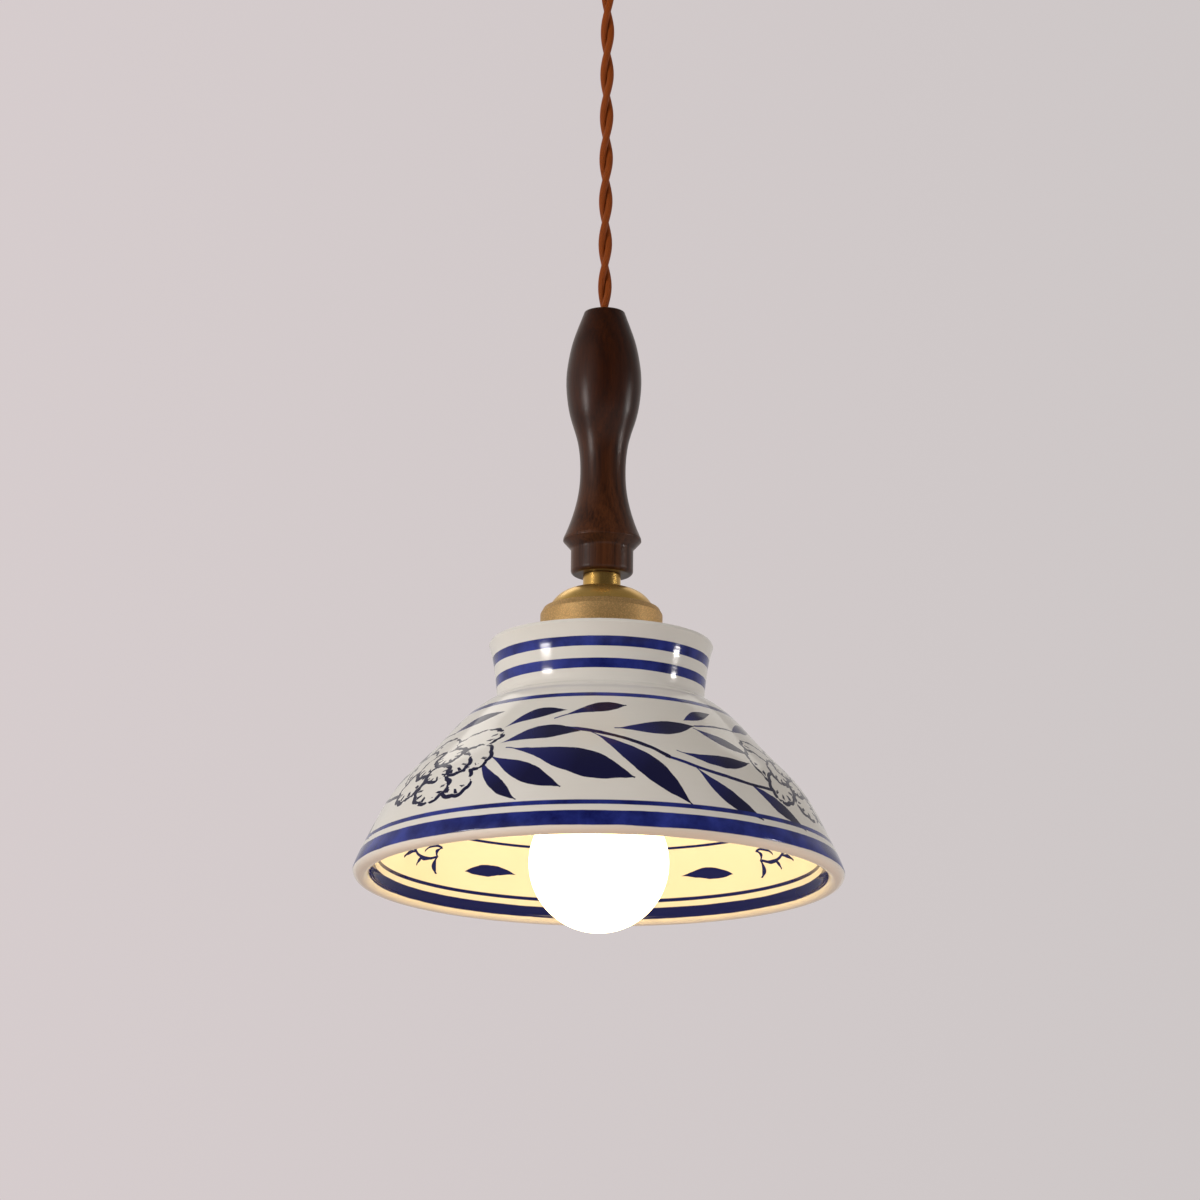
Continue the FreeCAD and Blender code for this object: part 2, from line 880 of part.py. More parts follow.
def lampholder_skirt():
    mouth = bulb_neck_radius + bulb_cap_wall + holder_mouth_gap
    outline = Outline()
    outline.to(mouth, holder_mouth)
    outline.to(holder_radius, holder_mouth, holder_lip_height / 2)
    outline.to(holder_radius, holder_top)
    outline.to(holder_inside, holder_top)
    outline.to(holder_inside, holder_mouth + holder_lip_height)
    outline.to(mouth, holder_mouth + holder_lip_height)
    return outline.turned()


def holder_core():
    return rod(holder_inside - seat_gap, core_bottom, core_top)


def thread_shell():
    inner = thread_radius + thread_gap
    rib = thread_radius - thread_root
    outline = Outline()
    outline.to(inner, core_bottom)
    height = core_bottom
    for number in range(shell_rib_count):
        middle = place_on(inner + rib, height - thread_pitch / 2)
        height = height - thread_pitch
        outline.to(inner, height, 0, ("arc", middle))
    outline.to(inner + shell_wall, height)
    for number in range(shell_rib_count):
        middle = place_on(inner + shell_wall + rib, height + thread_pitch / 2)
        height = height + thread_pitch
        outline.to(inner + shell_wall, height, 0, ("arc", middle))
    return outline.turned()


def centre_contact():
    half = contact_width / 2
    return block(-half, half, -half, contact_length - half, core_bottom - contact_thickness, core_bottom)


def side_contact():
    start = thread_radius + thread_gap + shell_wall + thread_radius - thread_root + seat_gap
    half = contact_width / 2
    return block(start, start + contact_thickness, -half, half, core_bottom - contact_length, core_bottom)


def terminal_pair(make):
    return Part.makeCompound([make(-1), make(1)])


def holder_terminals():
    half_width = holder_terminal_width / 2

    def terminal(sign):
        x = sign * contact_offset
        low_y = -holder_terminal_length / 2
        top = core_top + holder_terminal_height
        body = block(x - half_width, x + half_width, low_y, -low_y, core_top, top)
        middle = core_top + holder_terminal_height / 2
        place = Vector(x, -holder_screw_length, middle)
        bore = holder_screw_radius + seat_gap
        return body.cut(Part.makeCylinder(bore, holder_screw_length, place, Vector(0, 1, 0)))

    return terminal_pair(terminal)


def holder_screws():
    middle = core_top + holder_terminal_height / 2

    def screw(sign):
        x = sign * contact_offset
        place = Vector(x, -holder_screw_length, middle)
        body = Part.makeCylinder(holder_screw_radius, holder_screw_length, place, Vector(0, 1, 0))
        low = middle - screw_slot_width / 2
        end = -holder_screw_length
        half = holder_terminal_width / 2
        slot = block(x - half, x + half, end - overrun, end + screw_slot_depth, low, low + screw_slot_width)
        return body.cut(slot)

    return terminal_pair(screw)


# Bulb


# The glass from the globe's bottom up to the end of its neck, at a depth inside its surface
def glass_path(outline, depth, rising):
    radius = globe_radius - depth
    angle = math.radians(globe_shoulder_angle)
    neck = bulb_neck_radius - depth
    shoulder = place_on(radius * math.sin(angle), globe_centre + radius * math.cos(angle))
    meeting = place_on(neck, shoulder.z + (shoulder.x - neck) * math.tan(angle))
    side = (math.pi + angle) / 2
    middle = place_on(radius * math.sin(side), globe_centre + radius * math.cos(side))
    bottom = place_on(0, globe_centre - radius)
    top = cap_bottom + bulb_skirt_length - bulb_cap_wall
    if rising:
        outline.to(0, bottom.z)
        outline.to(shoulder.x, shoulder.z, 0, ("arc", middle))
        outline.to(neck, meeting.z, bulb_neck_round)
        outline.to(neck, top)
    else:
        outline.to(neck, top)
        outline.to(neck, meeting.z, bulb_neck_round)
        outline.to(shoulder.x, shoulder.z)
        outline.to(0, bottom.z, 0, ("arc", middle))


def bulb_globe():
    outline = Outline()
    glass_path(outline, 0, True)
    glass_path(outline, globe_wall, False)
    return outline.turned()


def bulb_cap():
    skirt = bulb_neck_radius + seat_gap
    skirt_top = cap_bottom + bulb_skirt_length
    crest = thread_radius - thread_root
    inner_root = thread_root - bulb_cap_wall
    outline = Outline()
    outline.to(skirt, cap_bottom)
    outline.to(skirt + bulb_cap_wall, cap_bottom)
    outline.to(skirt + bulb_cap_wall, skirt_top)
    outline.to(thread_root, skirt_top)
    height = skirt_top
    for number in range(thread_rib_count):
        middle = place_on(thread_root + crest, height + thread_pitch / 2)
        height = height + thread_pitch
        outline.to(thread_root, height, 0, ("arc", middle))
    outline.to(insulator_radius, height)
    outline.to(insulator_radius, height - bulb_cap_wall)
    outline.to(inner_root, height - bulb_cap_wall)
    outline.to(inner_root, skirt_top - bulb_cap_wall)
    outline.to(skirt, skirt_top - bulb_cap_wall)
    return outline.turned()


def bulb_insulator():
    outline = Outline()
    outline.to(0, insulator_bottom)
    outline.to(insulator_radius, insulator_bottom)
    outline.to(insulator_top_radius, bulb_top - tip_height)
    outline.to(0, bulb_top - tip_height)
    return outline.turned()


def bulb_tip():
    outline = Outline()
    outline.to(0, bulb_top - tip_height)
    outline.to(tip_radius, bulb_top - tip_height)
    sphere = (tip_radius**2 + tip_height**2) / (2 * tip_height)
    half_angle = math.asin(tip_radius / sphere) / 2
    middle = place_on(sphere * math.sin(half_angle), bulb_top - sphere + sphere * math.cos(half_angle))
    outline.to(0, bulb_top, 0, ("arc", middle))
    return outline.turned()


def bulb_driver():
    top = insulator_bottom - bulb_cap_wall
    return rod(driver_radius, top - driver_length, top)


def led_board():
    top = insulator_bottom - bulb_cap_wall - driver_length
    return rod(led_board_radius, top - led_board_thickness, top)


def led_chips():
    top = insulator_bottom - bulb_cap_wall - driver_length - led_board_thickness
    half = led_chip_side / 2
    chips = []
    for number in range(led_chip_count):
        angle = 2 * math.pi * number / led_chip_count
        x = led_chip_ring * math.cos(angle)
        y = led_chip_ring * math.sin(angle)
        chips.append(block(x - half, x + half, y - half, y + half, top - led_chip_thickness, top))
    return Part.makeCompound(chips)


pieces = [
    ceiling_bracket,
    canopy_cup,
    canopy_screws,
    gland_body,
    gland_cap,
    gland_washer,
    gland_nut,
    cord_bush,
    cord_tail,
    cord_stop,
    cord_stop_screw,
    supply_lead_live,
    supply_lead_neutral,
    terminal_block,
    terminal_screws,
    block_screw,
    earth_screw,
    cord,
    cord_collar,
    wood_handle,
    handle_insert,
    threaded_tube,
    lamp_lead_live,
    lamp_lead_neutral,
    neck_collar,
    cap_dome,
    dome_washer,
    dome_nut,
    cap_band,
    band_gasket,
    ceramic_shade,
    fibre_washer,
    shade_ring,
    lampholder_cap,
    lampholder_skirt,
    holder_core,
    thread_shell,
    centre_contact,
    side_contact,
    holder_terminals,
    holder_screws,
    bulb_globe,
    bulb_cap,
    bulb_insulator,
    bulb_tip,
    bulb_driver,
    led_board,
    led_chips,
]

os.makedirs("parts", exist_ok=True)
for piece in pieces:
    shape = piece()
    if not shape.isValid():
        print("not valid:", piece.__name__)
    solids = len(shape.Solids)
    box = shape.BoundBox
    size = [round(value, 2) for value in (box.XMin, box.XMax, box.YMin, box.YMax, box.ZMin, box.ZMax)]
    print(piece.__name__, solids, "solid(s)", round(shape.Volume, 1), size)
    shape.exportStep("parts/" + piece.__name__ + ".step")
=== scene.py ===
import math
import bpy
import numpy
from mathutils import Matrix, Vector


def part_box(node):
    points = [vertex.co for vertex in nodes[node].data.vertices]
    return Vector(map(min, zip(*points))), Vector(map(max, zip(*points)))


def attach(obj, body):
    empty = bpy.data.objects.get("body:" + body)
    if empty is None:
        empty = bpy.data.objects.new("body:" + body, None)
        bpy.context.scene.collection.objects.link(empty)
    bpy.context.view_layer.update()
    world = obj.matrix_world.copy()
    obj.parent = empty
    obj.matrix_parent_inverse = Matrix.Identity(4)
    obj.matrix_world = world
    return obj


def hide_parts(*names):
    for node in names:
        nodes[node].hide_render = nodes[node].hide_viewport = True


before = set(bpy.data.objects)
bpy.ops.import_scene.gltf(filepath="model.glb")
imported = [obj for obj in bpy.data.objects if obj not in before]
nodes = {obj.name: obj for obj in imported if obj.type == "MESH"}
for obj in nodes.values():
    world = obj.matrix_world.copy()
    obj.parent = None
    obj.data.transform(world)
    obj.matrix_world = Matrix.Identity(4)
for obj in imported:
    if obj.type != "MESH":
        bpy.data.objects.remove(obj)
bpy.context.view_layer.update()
print("frame loaded:", len(nodes), "nodes")

# camera: low in front of the lamp, looking up at it
camera = {
    "lens": 180.0,
    "sensor": 36.0,
    "distance": 2.566,  # from the middle of the shade's rim
    "aboveRim": 0.004,
    "rise": 11.25,
    "pitch": 13.85,
    "roll": 0.6,  # the lamp leans a little to the right in the picture
    "aside": -0.0007,
    "clip": (0.05, 60.0),
}


def addCamera():
    data = bpy.data.cameras.new("camera")
    data.lens = camera["lens"]
    data.sensor_width = camera["sensor"]
    data.clip_start, data.clip_end = camera["clip"]
    eye = bpy.data.objects.new("camera", data)
    bpy.context.scene.collection.objects.link(eye)
    rise = math.radians(camera["rise"])
    back = camera["distance"] * math.cos(rise)
    down = camera["distance"] * math.sin(rise)
    height = rimHeight + camera["aboveRim"] - down
    pitch = Matrix.Rotation(math.radians(90 + camera["pitch"]), 4, "X")
    roll = Matrix.Rotation(math.radians(camera["roll"]), 4, "Z")
    eye.matrix_world = Matrix.Translation((camera["aside"], -back, height)) @ pitch @ roll
    bpy.context.scene.camera = eye


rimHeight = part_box("ceramic_shade")[0][2]
addCamera()
print("camera placed")


# small helpers for objects and meshes
def selectOnly(piece):
    bpy.ops.object.select_all(action="DESELECT")
    piece.select_set(True)
    bpy.context.view_layer.objects.active = piece


def newPiece(name, mesh):
    piece = bpy.data.objects.new(name, mesh)
    bpy.context.scene.collection.objects.link(piece)
    return piece


def editAll():
    bpy.ops.object.mode_set(mode="EDIT")
    bpy.ops.mesh.select_all(action="SELECT")


# cord: two strands twisted round the route's line
cord = {
    "route": [(0, 0, -0.0335), (0, 0, -0.08), (0, 0, -0.127), (0, 0, -0.1745), (0, 0, -0.222)],
    "tailRoute": [
        (0, 0, -0.0275),
        (0, 0, -0.0235),
        (0, 0, -0.0185),
        (0, 0, -0.0135),
        (0, 0, -0.0094),
    ],
    "exit": (0, 0, -0.0385),
    "length": 0.1885,
    "diameter": 0.006,
    "strandRadius": 0.0015,
    "layLength": 0.0391,  # along the cord for one whole turn of a strand
    "crossingHeight": -0.1871,  # one strand lies straight in front of the other here
    "step": 0.0005,
    "sides": 24,
    "lineSteps": 48,  # between two points of a route
    "sharpAngle": 50.0,
    "braidLength": 0.004,  # of one unit up the strand's map
}


def routeLine(name, points):
    curve = bpy.data.curves.new(name, "CURVE")
    curve.dimensions = "3D"
    curve.resolution_u = curve.render_resolution_u = cord["lineSteps"]
    spline = curve.splines.new("NURBS")
    spline.points.add(len(points) - 1)
    for point, place in zip(spline.points, points):
        point.co = (*place, 1)
    spline.order_u = 3
    spline.use_endpoint_u = True
    holder = newPiece(name, curve)
    bpy.context.view_layer.update()
    line = bpy.data.meshes.new_from_object(holder)
    places = [vertex.co.copy() for vertex in line.vertices]
    bpy.data.objects.remove(holder)
    return places


# places at even steps along a line
def evenPlaces(places, step):
    spread = [places[0]]
    carried = 0.0
    for before, after in zip(places, places[1:]):
        run = (after - before).length
        while carried + run >= step * len(spread):
            share = (step * len(spread) - carried) / run
            spread.append(before.lerp(after, share))
        carried += run
    return spread + [places[-1]]


def twistedPair(name, points):
    places = evenPlaces(routeLine(name + "_route", points), cord["step"])
    radius = cord["strandRadius"]
    sides = cord["sides"]
    verts, faces, maps = [], [], []
    for strand in (0, 1):
        first = len(verts)
        middles = []
        for place in places:
            turn = 2 * math.pi * (place.z - cord["crossingHeight"]) / cord["layLength"]
            turn += math.pi * strand - math.pi / 2
            middles.append(place + radius * Vector((math.cos(turn), math.sin(turn), 0)))
        for number, middle in enumerate(middles):
            ahead = middles[min(number + 1, len(middles) - 1)]
            behind = middles[max(number - 1, 0)]
            along = (ahead - behind).normalized()
            outward = Vector((middle.x, middle.y, 0)).normalized()
            side = along.cross(outward).normalized()
            outward = side.cross(along)
            for step in range(sides):
                angle = 2 * math.pi * step / sides
                spoke = outward * math.cos(angle) + side * math.sin(angle)
                verts.append(middle + radius * spoke)
        for number in range(len(middles) - 1):
            low = first + number * sides
            for step in range(sides):
                after = (step + 1) % sides
                faces.append((low + step, low + sides + step, low + sides + after, low + after))
                down = number * cord["step"] / cord["braidLength"]
                up = (number + 1) * cord["step"] / cord["braidLength"]
                left, right = step / sides, (step + 1) / sides
                maps += [(left, down), (left, up), (right, up), (right, down)]
        last = first + (len(middles) - 1) * sides
        faces.append([first + step for step in range(sides)])
        faces.append([last + step for step in reversed(range(sides))])
        maps += [(0, 0)] * (2 * sides)
    mesh = bpy.data.meshes.new(name)
    mesh.from_pydata(verts, [], faces)
    layer = mesh.uv_layers.new(name="braid")
    for loop, place in zip(layer.data, maps):
        loop.uv = place
    piece = newPiece(name, mesh)
    selectOnly(piece)
    editAll()
    bpy.ops.mesh.normals_make_consistent(inside=False)
    bpy.ops.object.mode_set(mode="OBJECT")
    bpy.ops.object.shade_smooth_by_angle(angle=math.radians(cord["sharpAngle"]))
    return piece, places


cordPair, cordPlaces = twistedPair("twisted_cord", cord["route"])
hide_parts("cord")
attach(cordPair, "cord_run")
tailPair = twistedPair("twisted_tail", cord["tailRoute"])[0]
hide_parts("cord_tail")
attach(tailPair, "ceiling_fitting")
print("cord twisted:", len(cordPlaces), "places")


# shade: the ceramic's own outline, spun finer, with a map that follows the wall for the painting
shade = {
    "steps": 240,
    "sharpAngle": 40.0,
    "merge": 1e-6,
    "outlineMerge": 1e-5,
    "spacing": 2.5,  # degrees by which the three flowers stand unevenly
    "holeJump": 60,  # degrees down the painting; a face that spans more is in the hole's wall
}


# where a place round the lamp stands on the painting: degrees, 0 in front and rising to the right
def paintTurn(turn):
    return turn + shade["spacing"] * math.sin(math.radians(turn))


def spunShade():
    mesh = nodes["ceramic_shade"].data.copy()
    piece = newPiece("painted_shade", mesh)
    mesh.materials.clear()
    selectOnly(piece)
    bpy.ops.mesh.customdata_custom_splitnormals_clear()
    editAll()
    bpy.ops.mesh.remove_doubles(threshold=shade["merge"])
    bpy.ops.mesh.select_all(action="SELECT")
    bpy.ops.mesh.bisect(plane_co=(0, 0, 0), plane_no=(0, 1, 0), clear_inner=True, clear_outer=True)
    bpy.ops.mesh.select_all(action="DESELECT")
    bpy.ops.object.mode_set(mode="OBJECT")
    for vertex in mesh.vertices:
        vertex.select = vertex.co.x < 0
    bpy.ops.object.mode_set(mode="EDIT")
    bpy.ops.mesh.delete(type="VERT")
    bpy.ops.mesh.select_all(action="SELECT")
    bpy.ops.mesh.remove_doubles(threshold=shade["outlineMerge"])
    bpy.ops.object.mode_set(mode="OBJECT")
    outline = outlineOrder(mesh)
    editAll()
    bpy.ops.mesh.spin(steps=shade["steps"], angle=2 * math.pi, center=(0, 0, 0), axis=(0, 0, 1))
    bpy.ops.mesh.select_all(action="SELECT")
    bpy.ops.mesh.remove_doubles(threshold=shade["merge"])
    bpy.ops.mesh.normals_make_consistent(inside=False)
    bpy.ops.object.mode_set(mode="OBJECT")
    bpy.ops.object.shade_smooth_by_angle(angle=math.radians(shade["sharpAngle"]))
    return piece, outline


# the outline's places in order, from the upper edge of its hole over foot ring, wall and lip
# to the hole's lower edge
def outlineOrder(mesh):
    beside = {}
    for edge in mesh.edges:
        one, other = edge.vertices
        beside.setdefault(one, []).append(other)
        beside.setdefault(other, []).append(one)
    places = [vertex.co.copy() for vertex in mesh.vertices]
    hole = min(place.x for place in places)
    reach = hole + shade["outlineMerge"]
    atHole = [number for number, place in enumerate(places) if place.x < reach]
    start = max(atHole, key=lambda number: places[number].z)
    chain = [start]
    following = [number for number in beside[start] if number not in atHole][0]
    while following is not None:
        chain.append(following)
        onward = [number for number in beside[following] if number not in chain]
        following = onward[0] if onward and chain[-1] not in atHole else None
    return [(places[number].x, places[number].z) for number in chain]


# how far each place of the outline is down the painting, in the same degrees: steps along the
# wall over its radius
def paintScale(outline):
    scale = [0.0]
    for (radiusA, heightA), (radiusB, heightB) in zip(outline, outline[1:]):
        step = math.hypot(radiusB - radiusA, heightB - heightA)
        scale.append(scale[-1] + math.degrees(step / ((radiusA + radiusB) / 2)))
    return scale


def mapPainting(piece, outline, scale):
    mesh = piece.data
    radii = numpy.array([radius for radius, height in outline])
    heights = numpy.array([height for radius, height in outline])
    places = []
    for vertex in mesh.vertices:
        radius = math.hypot(vertex.co.x, vertex.co.y)
        nearest = numpy.argmin(abs(radii - radius) + abs(heights - vertex.co.z))
        turn = math.degrees(math.atan2(vertex.co.x, -vertex.co.y))
        places.append((paintTurn(turn), scale[nearest]))
    layer = mesh.uv_layers.new(name="painting")
    for face in mesh.polygons:
        turns = [places[vertex][0] for vertex in face.vertices]
        downs = [places[vertex][1] for vertex in face.vertices]
        overBack = max(turns) - min(turns) > 180
        overHole = max(downs) - min(downs) > shade["holeJump"]
        for loop, turn, down in zip(face.loop_indices, turns, downs):
            turn = turn + 360 if overBack and turn < 0 else turn
            down = max(downs) if overHole else down
            layer.data[loop].uv = (turn / 360, down / 360)


shadePiece, shadeOutline = spunShade()
shadeScale = paintScale(shadeOutline)
mapPainting(shadePiece, shadeOutline, shadeScale)
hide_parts("ceramic_shade")
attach(shadePiece, "lamp")
lipPlace = min(range(len(shadeOutline)), key=lambda number: shadeOutline[number][1])
print("shade spun:", len(shadePiece.data.polygons), "faces")


# how far down the painting a height above the rim is, in mm, on the outer or the inner wall
def paintDown(height, inside=False):
    place = rimHeight + height / 1000
    wall = range(lipPlace, len(shadeOutline)) if inside else range(lipPlace, -1, -1)
    for number, following in zip(wall, list(wall)[1:]):
        low, high = shadeOutline[number][1], shadeOutline[following][1]
        if low <= place < high:
            share = (place - low) / (high - low)
            return shadeScale[number] + share * (shadeScale[following] - shadeScale[number])
    raise ValueError("no wall at that height")


# the wall's radius at a height above the rim, in mm
def wallRadius(height, inside=False):
    place = rimHeight + height / 1000
    wall = shadeOutline[lipPlace:] if inside else shadeOutline[lipPlace::-1]
    for (lowRadius, low), (highRadius, high) in zip(wall, wall[1:]):
        if low <= place < high:
            return 1000 * (lowRadius + (place - low) / (high - low) * (highRadius - lowRadius))
    raise ValueError("no wall at that height")


# node helpers
def linkTo(tree, value, socket):
    if isinstance(value, bpy.types.NodeSocket):
        tree.links.new(value, socket)
    else:
        socket.default_value = value


def mathNode(tree, operation, *values, clamp=False):
    node = tree.nodes.new("ShaderNodeMath")
    node.operation = operation
    node.use_clamp = clamp
    for value, socket in zip(values, node.inputs):
        linkTo(tree, value, socket)
    return node.outputs[0]


def vectorNode(tree, operation, *values):
    node = tree.nodes.new("ShaderNodeVectorMath")
    node.operation = operation
    for value, socket in zip(values, node.inputs):
        linkTo(tree, value, socket)
    return node.outputs["Value"] if operation in ("DOT_PRODUCT", "LENGTH") else node.outputs[0]


def joined(tree, x=0.0, y=0.0, z=0.0):
    node = tree.nodes.new("ShaderNodeCombineXYZ")
    for value, socket in zip((x, y, z), node.inputs):
        linkTo(tree, value, socket)
    return node.outputs[0]


def split(tree, vector):
    node = tree.nodes.new("ShaderNodeSeparateXYZ")
    linkTo(tree, vector, node.inputs[0])
    return node.outputs


def wrapped(tree, value, start, period):
    return mathNode(tree, "WRAP", value, start + period, start)


def noiseNode(tree, vector, scale, detail=2.0, roughness=0.5):
    node = tree.nodes.new("ShaderNodeTexNoise")
    linkTo(tree, vector, node.inputs["Vector"])
    for value, socket in ((scale, "Scale"), (detail, "Detail"), (roughness, "Roughness")):
        linkTo(tree, value, node.inputs[socket])
    return node.outputs["Fac"]


def spreadNode(tree, value, low, high, toLow=0.0, toHigh=1.0):
    node = tree.nodes.new("ShaderNodeMapRange")
    for each, socket in zip((value, low, high, toLow, toHigh), node.inputs):
        linkTo(tree, each, socket)
    return node.outputs[0]


def blendNode(tree, share, one, other):
    node = tree.nodes.new("ShaderNodeMix")
    node.data_type = "RGBA"
    colours = [socket for socket in node.inputs if socket.type == "RGBA"]
    linkTo(tree, share, node.inputs[0])
    for value, socket in zip((one, other), colours):
        linkTo(tree, (*value, 1) if isinstance(value, tuple) else value, socket)
    return [socket for socket in node.outputs if socket.type == "RGBA"][0]


def bumpNode(tree, height, distance):
    node = tree.nodes.new("ShaderNodeBump")
    node.inputs["Distance"].default_value = distance
    linkTo(tree, height, node.inputs["Height"])
    return node.outputs[0]


def newGroup(name, vectors, numbers, results):
    group = bpy.data.node_groups.new(name, "ShaderNodeTree")
    for names, kind, side in (
        (vectors, "NodeSocketVector", "INPUT"),
        (numbers, "NodeSocketFloat", "INPUT"),
        (results, "NodeSocketFloat", "OUTPUT"),
    ):
        for socket in names:
            group.interface.new_socket(socket, in_out=side, socket_type=kind)
    given = group.nodes.new("NodeGroupInput").outputs
    return group, given, group.nodes.new("NodeGroupOutput").inputs


def useGroup(tree, group, **values):
    node = tree.nodes.new("ShaderNodeGroup")
    node.node_tree = group
    for name, value in values.items():
        linkTo(tree, value, node.inputs[name])
    return node.outputs


def newMaterial(name, **values):
    material = bpy.data.materials.new(name)
    material.use_nodes = True
    shader = material.node_tree.nodes["Principled BSDF"]
    for socket, value in values.items():
        shader.inputs[socket.replace("_", " ")].default_value = value
    return material, material.node_tree, shader


def objectPlace(tree):
    return tree.nodes.new("ShaderNodeTexCoord").outputs["Object"]


def mapPlace(tree, name):
    node = tree.nodes.new("ShaderNodeUVMap")
    node.uv_map = name
    return node.outputs[0]


# what most finishes feed: colour, roughness and a relief
def feed(tree, shader, colour, gloss, relief, depth):
    tree.links.new(colour, shader.inputs["Base Color"])
    tree.links.new(gloss, shader.inputs["Roughness"])
    tree.links.new(bumpNode(tree, relief, depth), shader.inputs["Normal"])


# one brush stroke of the painting; Along is its direction over its length, Across is at right
# angles to it, in degrees
strokeShape = {"bow": 4.0, "point": 1.15}  # a bow of 4 reaches the full bend in its middle


def brushStrokeGroup():
    group, given, result = newGroup(
        "brush stroke",
        ("Place", "Start", "Along", "Across"),
        ("Half Width", "Bend", "Belly", "Least", "Length", "Softness"),
        ("Ink", "Depth"),
    )
    offset = vectorNode(group, "SUBTRACT", given["Place"], given["Start"])
    along = vectorNode(group, "DOT_PRODUCT", offset, given["Along"])
    across = vectorNode(group, "DOT_PRODUCT", offset, given["Across"])
    rest = mathNode(group, "SUBTRACT", 1.0, along)
    bow = mathNode(group, "MULTIPLY", mathNode(group, "MULTIPLY", along, rest), strokeShape["bow"])
    away = mathNode(group, "SUBTRACT", across, mathNode(group, "MULTIPLY", bow, given["Bend"]))
    away = mathNode(group, "ABSOLUTE", away)
    within = mathNode(group, "ADD", along, 0.0, clamp=True)
    swell = mathNode(group, "POWER", within, given["Belly"])
    swell = mathNode(group, "SINE", mathNode(group, "MULTIPLY", swell, math.pi))
    swell = mathNode(group, "MAXIMUM", swell, 0.0)
    swell = mathNode(group, "POWER", swell, strokeShape["point"])
    half = mathNode(group, "MULTIPLY", swell, given["Half Width"])
    half = mathNode(group, "MAXIMUM", half, given["Least"])
    inside = mathNode(group, "SUBTRACT", half, away)
    ends = mathNode(group, "MULTIPLY", mathNode(group, "MINIMUM", along, rest), given["Length"])
    inside = mathNode(group, "MINIMUM", inside, ends)
    ink = mathNode(group, "DIVIDE", inside, given["Softness"])
    ink = mathNode(group, "ADD", ink, 0.5, clamp=True)
    group.links.new(ink, result["Ink"])
    group.links.new(mathNode(group, "MULTIPLY", ink, within), result["Depth"])
    return group


# one petal: a scalloped oval with a drawn edge, and a row of dashes inside its lower half;
# lengths are shares of the petal's half size
petalShape = {
    "waist": 0.92,  # between two scallops
    "scallop": 0.09,
    "fillEdge": 60.0,
    "lineEdge": 40.0,
    "dashRow": 0.30,  # inside the edge
    "dashReach": 1.2,  # times the line's half width
    "dashes": 9.0,
    "dashGap": 0.30,
    "dashEdge": 4.0,
    "bare": (0.1, 0.35),  # the dashes end between these heights
}


def petalGroup():
    group, given, result = newGroup(
        "petal",
        ("Place", "Middle", "Along", "Across"),
        ("Scallops", "Half Line", "Fraying"),
        ("Fill", "Ink"),
    )
    offset = vectorNode(group, "SUBTRACT", given["Place"], given["Middle"])
    along = vectorNode(group, "DOT_PRODUCT", offset, given["Along"])
    across = vectorNode(group, "DOT_PRODUCT", offset, given["Across"])
    reach = vectorNode(group, "LENGTH", joined(group, along, across))
    angle = mathNode(group, "ARCTAN2", across, along)
    wave = mathNode(group, "SINE", mathNode(group, "MULTIPLY", angle, given["Scallops"]))
    wave = mathNode(group, "ABSOLUTE", wave)
    edge = mathNode(group, "MULTIPLY_ADD", wave, petalShape["scallop"], petalShape["waist"])
    inside = mathNode(group, "SUBTRACT", edge, reach)
    fill = mathNode(group, "MULTIPLY_ADD", inside, petalShape["fillEdge"], 0.5, clamp=True)
    line = mathNode(group, "MULTIPLY", given["Half Line"], given["Fraying"])
    outline = mathNode(group, "SUBTRACT", line, mathNode(group, "ABSOLUTE", inside))
    outline = mathNode(group, "MULTIPLY_ADD", outline, petalShape["lineEdge"], 0.5, clamp=True)
    ribs = mathNode(group, "SINE", mathNode(group, "MULTIPLY", angle, petalShape["dashes"]))
    ribs = mathNode(group, "SUBTRACT", ribs, petalShape["dashGap"])
    ribs = mathNode(group, "MULTIPLY", ribs, petalShape["dashEdge"], clamp=True)
    row = mathNode(group, "SUBTRACT", inside, petalShape["dashRow"])
    row = mathNode(group, "ABSOLUTE", row)
    reach = mathNode(group, "MULTIPLY", line, petalShape["dashReach"])
    row = mathNode(group, "SUBTRACT", reach, row)
    dashes = mathNode(group, "MULTIPLY_ADD", row, petalShape["lineEdge"], 0.5, clamp=True)
    dashes = mathNode(group, "MULTIPLY", dashes, ribs)
    low = spreadNode(group, across, *petalShape["bare"], 1.0, 0.0)
    dashes = mathNode(group, "MULTIPLY", dashes, low)
    group.links.new(fill, result["Fill"])
    group.links.new(mathNode(group, "MAXIMUM", outline, dashes), result["Ink"])
    return group


# one painted ring round the shade, whose edges waver
def ringGroup():
    group, given, result = newGroup(
        "painted ring", (), ("Down", "Middle", "Half Width", "Waver", "Softness"), ("Ink",)
    )
    away = mathNode(group, "SUBTRACT", given["Down"], given["Middle"])
    away = mathNode(group, "ABSOLUTE", away)
    half = mathNode(group, "MULTIPLY", given["Half Width"], given["Waver"])
    inside = mathNode(group, "SUBTRACT", half, away)
    inside = mathNode(group, "DIVIDE", inside, given["Softness"])
    group.links.new(mathNode(group, "ADD", inside, 0.5, clamp=True), result["Ink"])
    return group


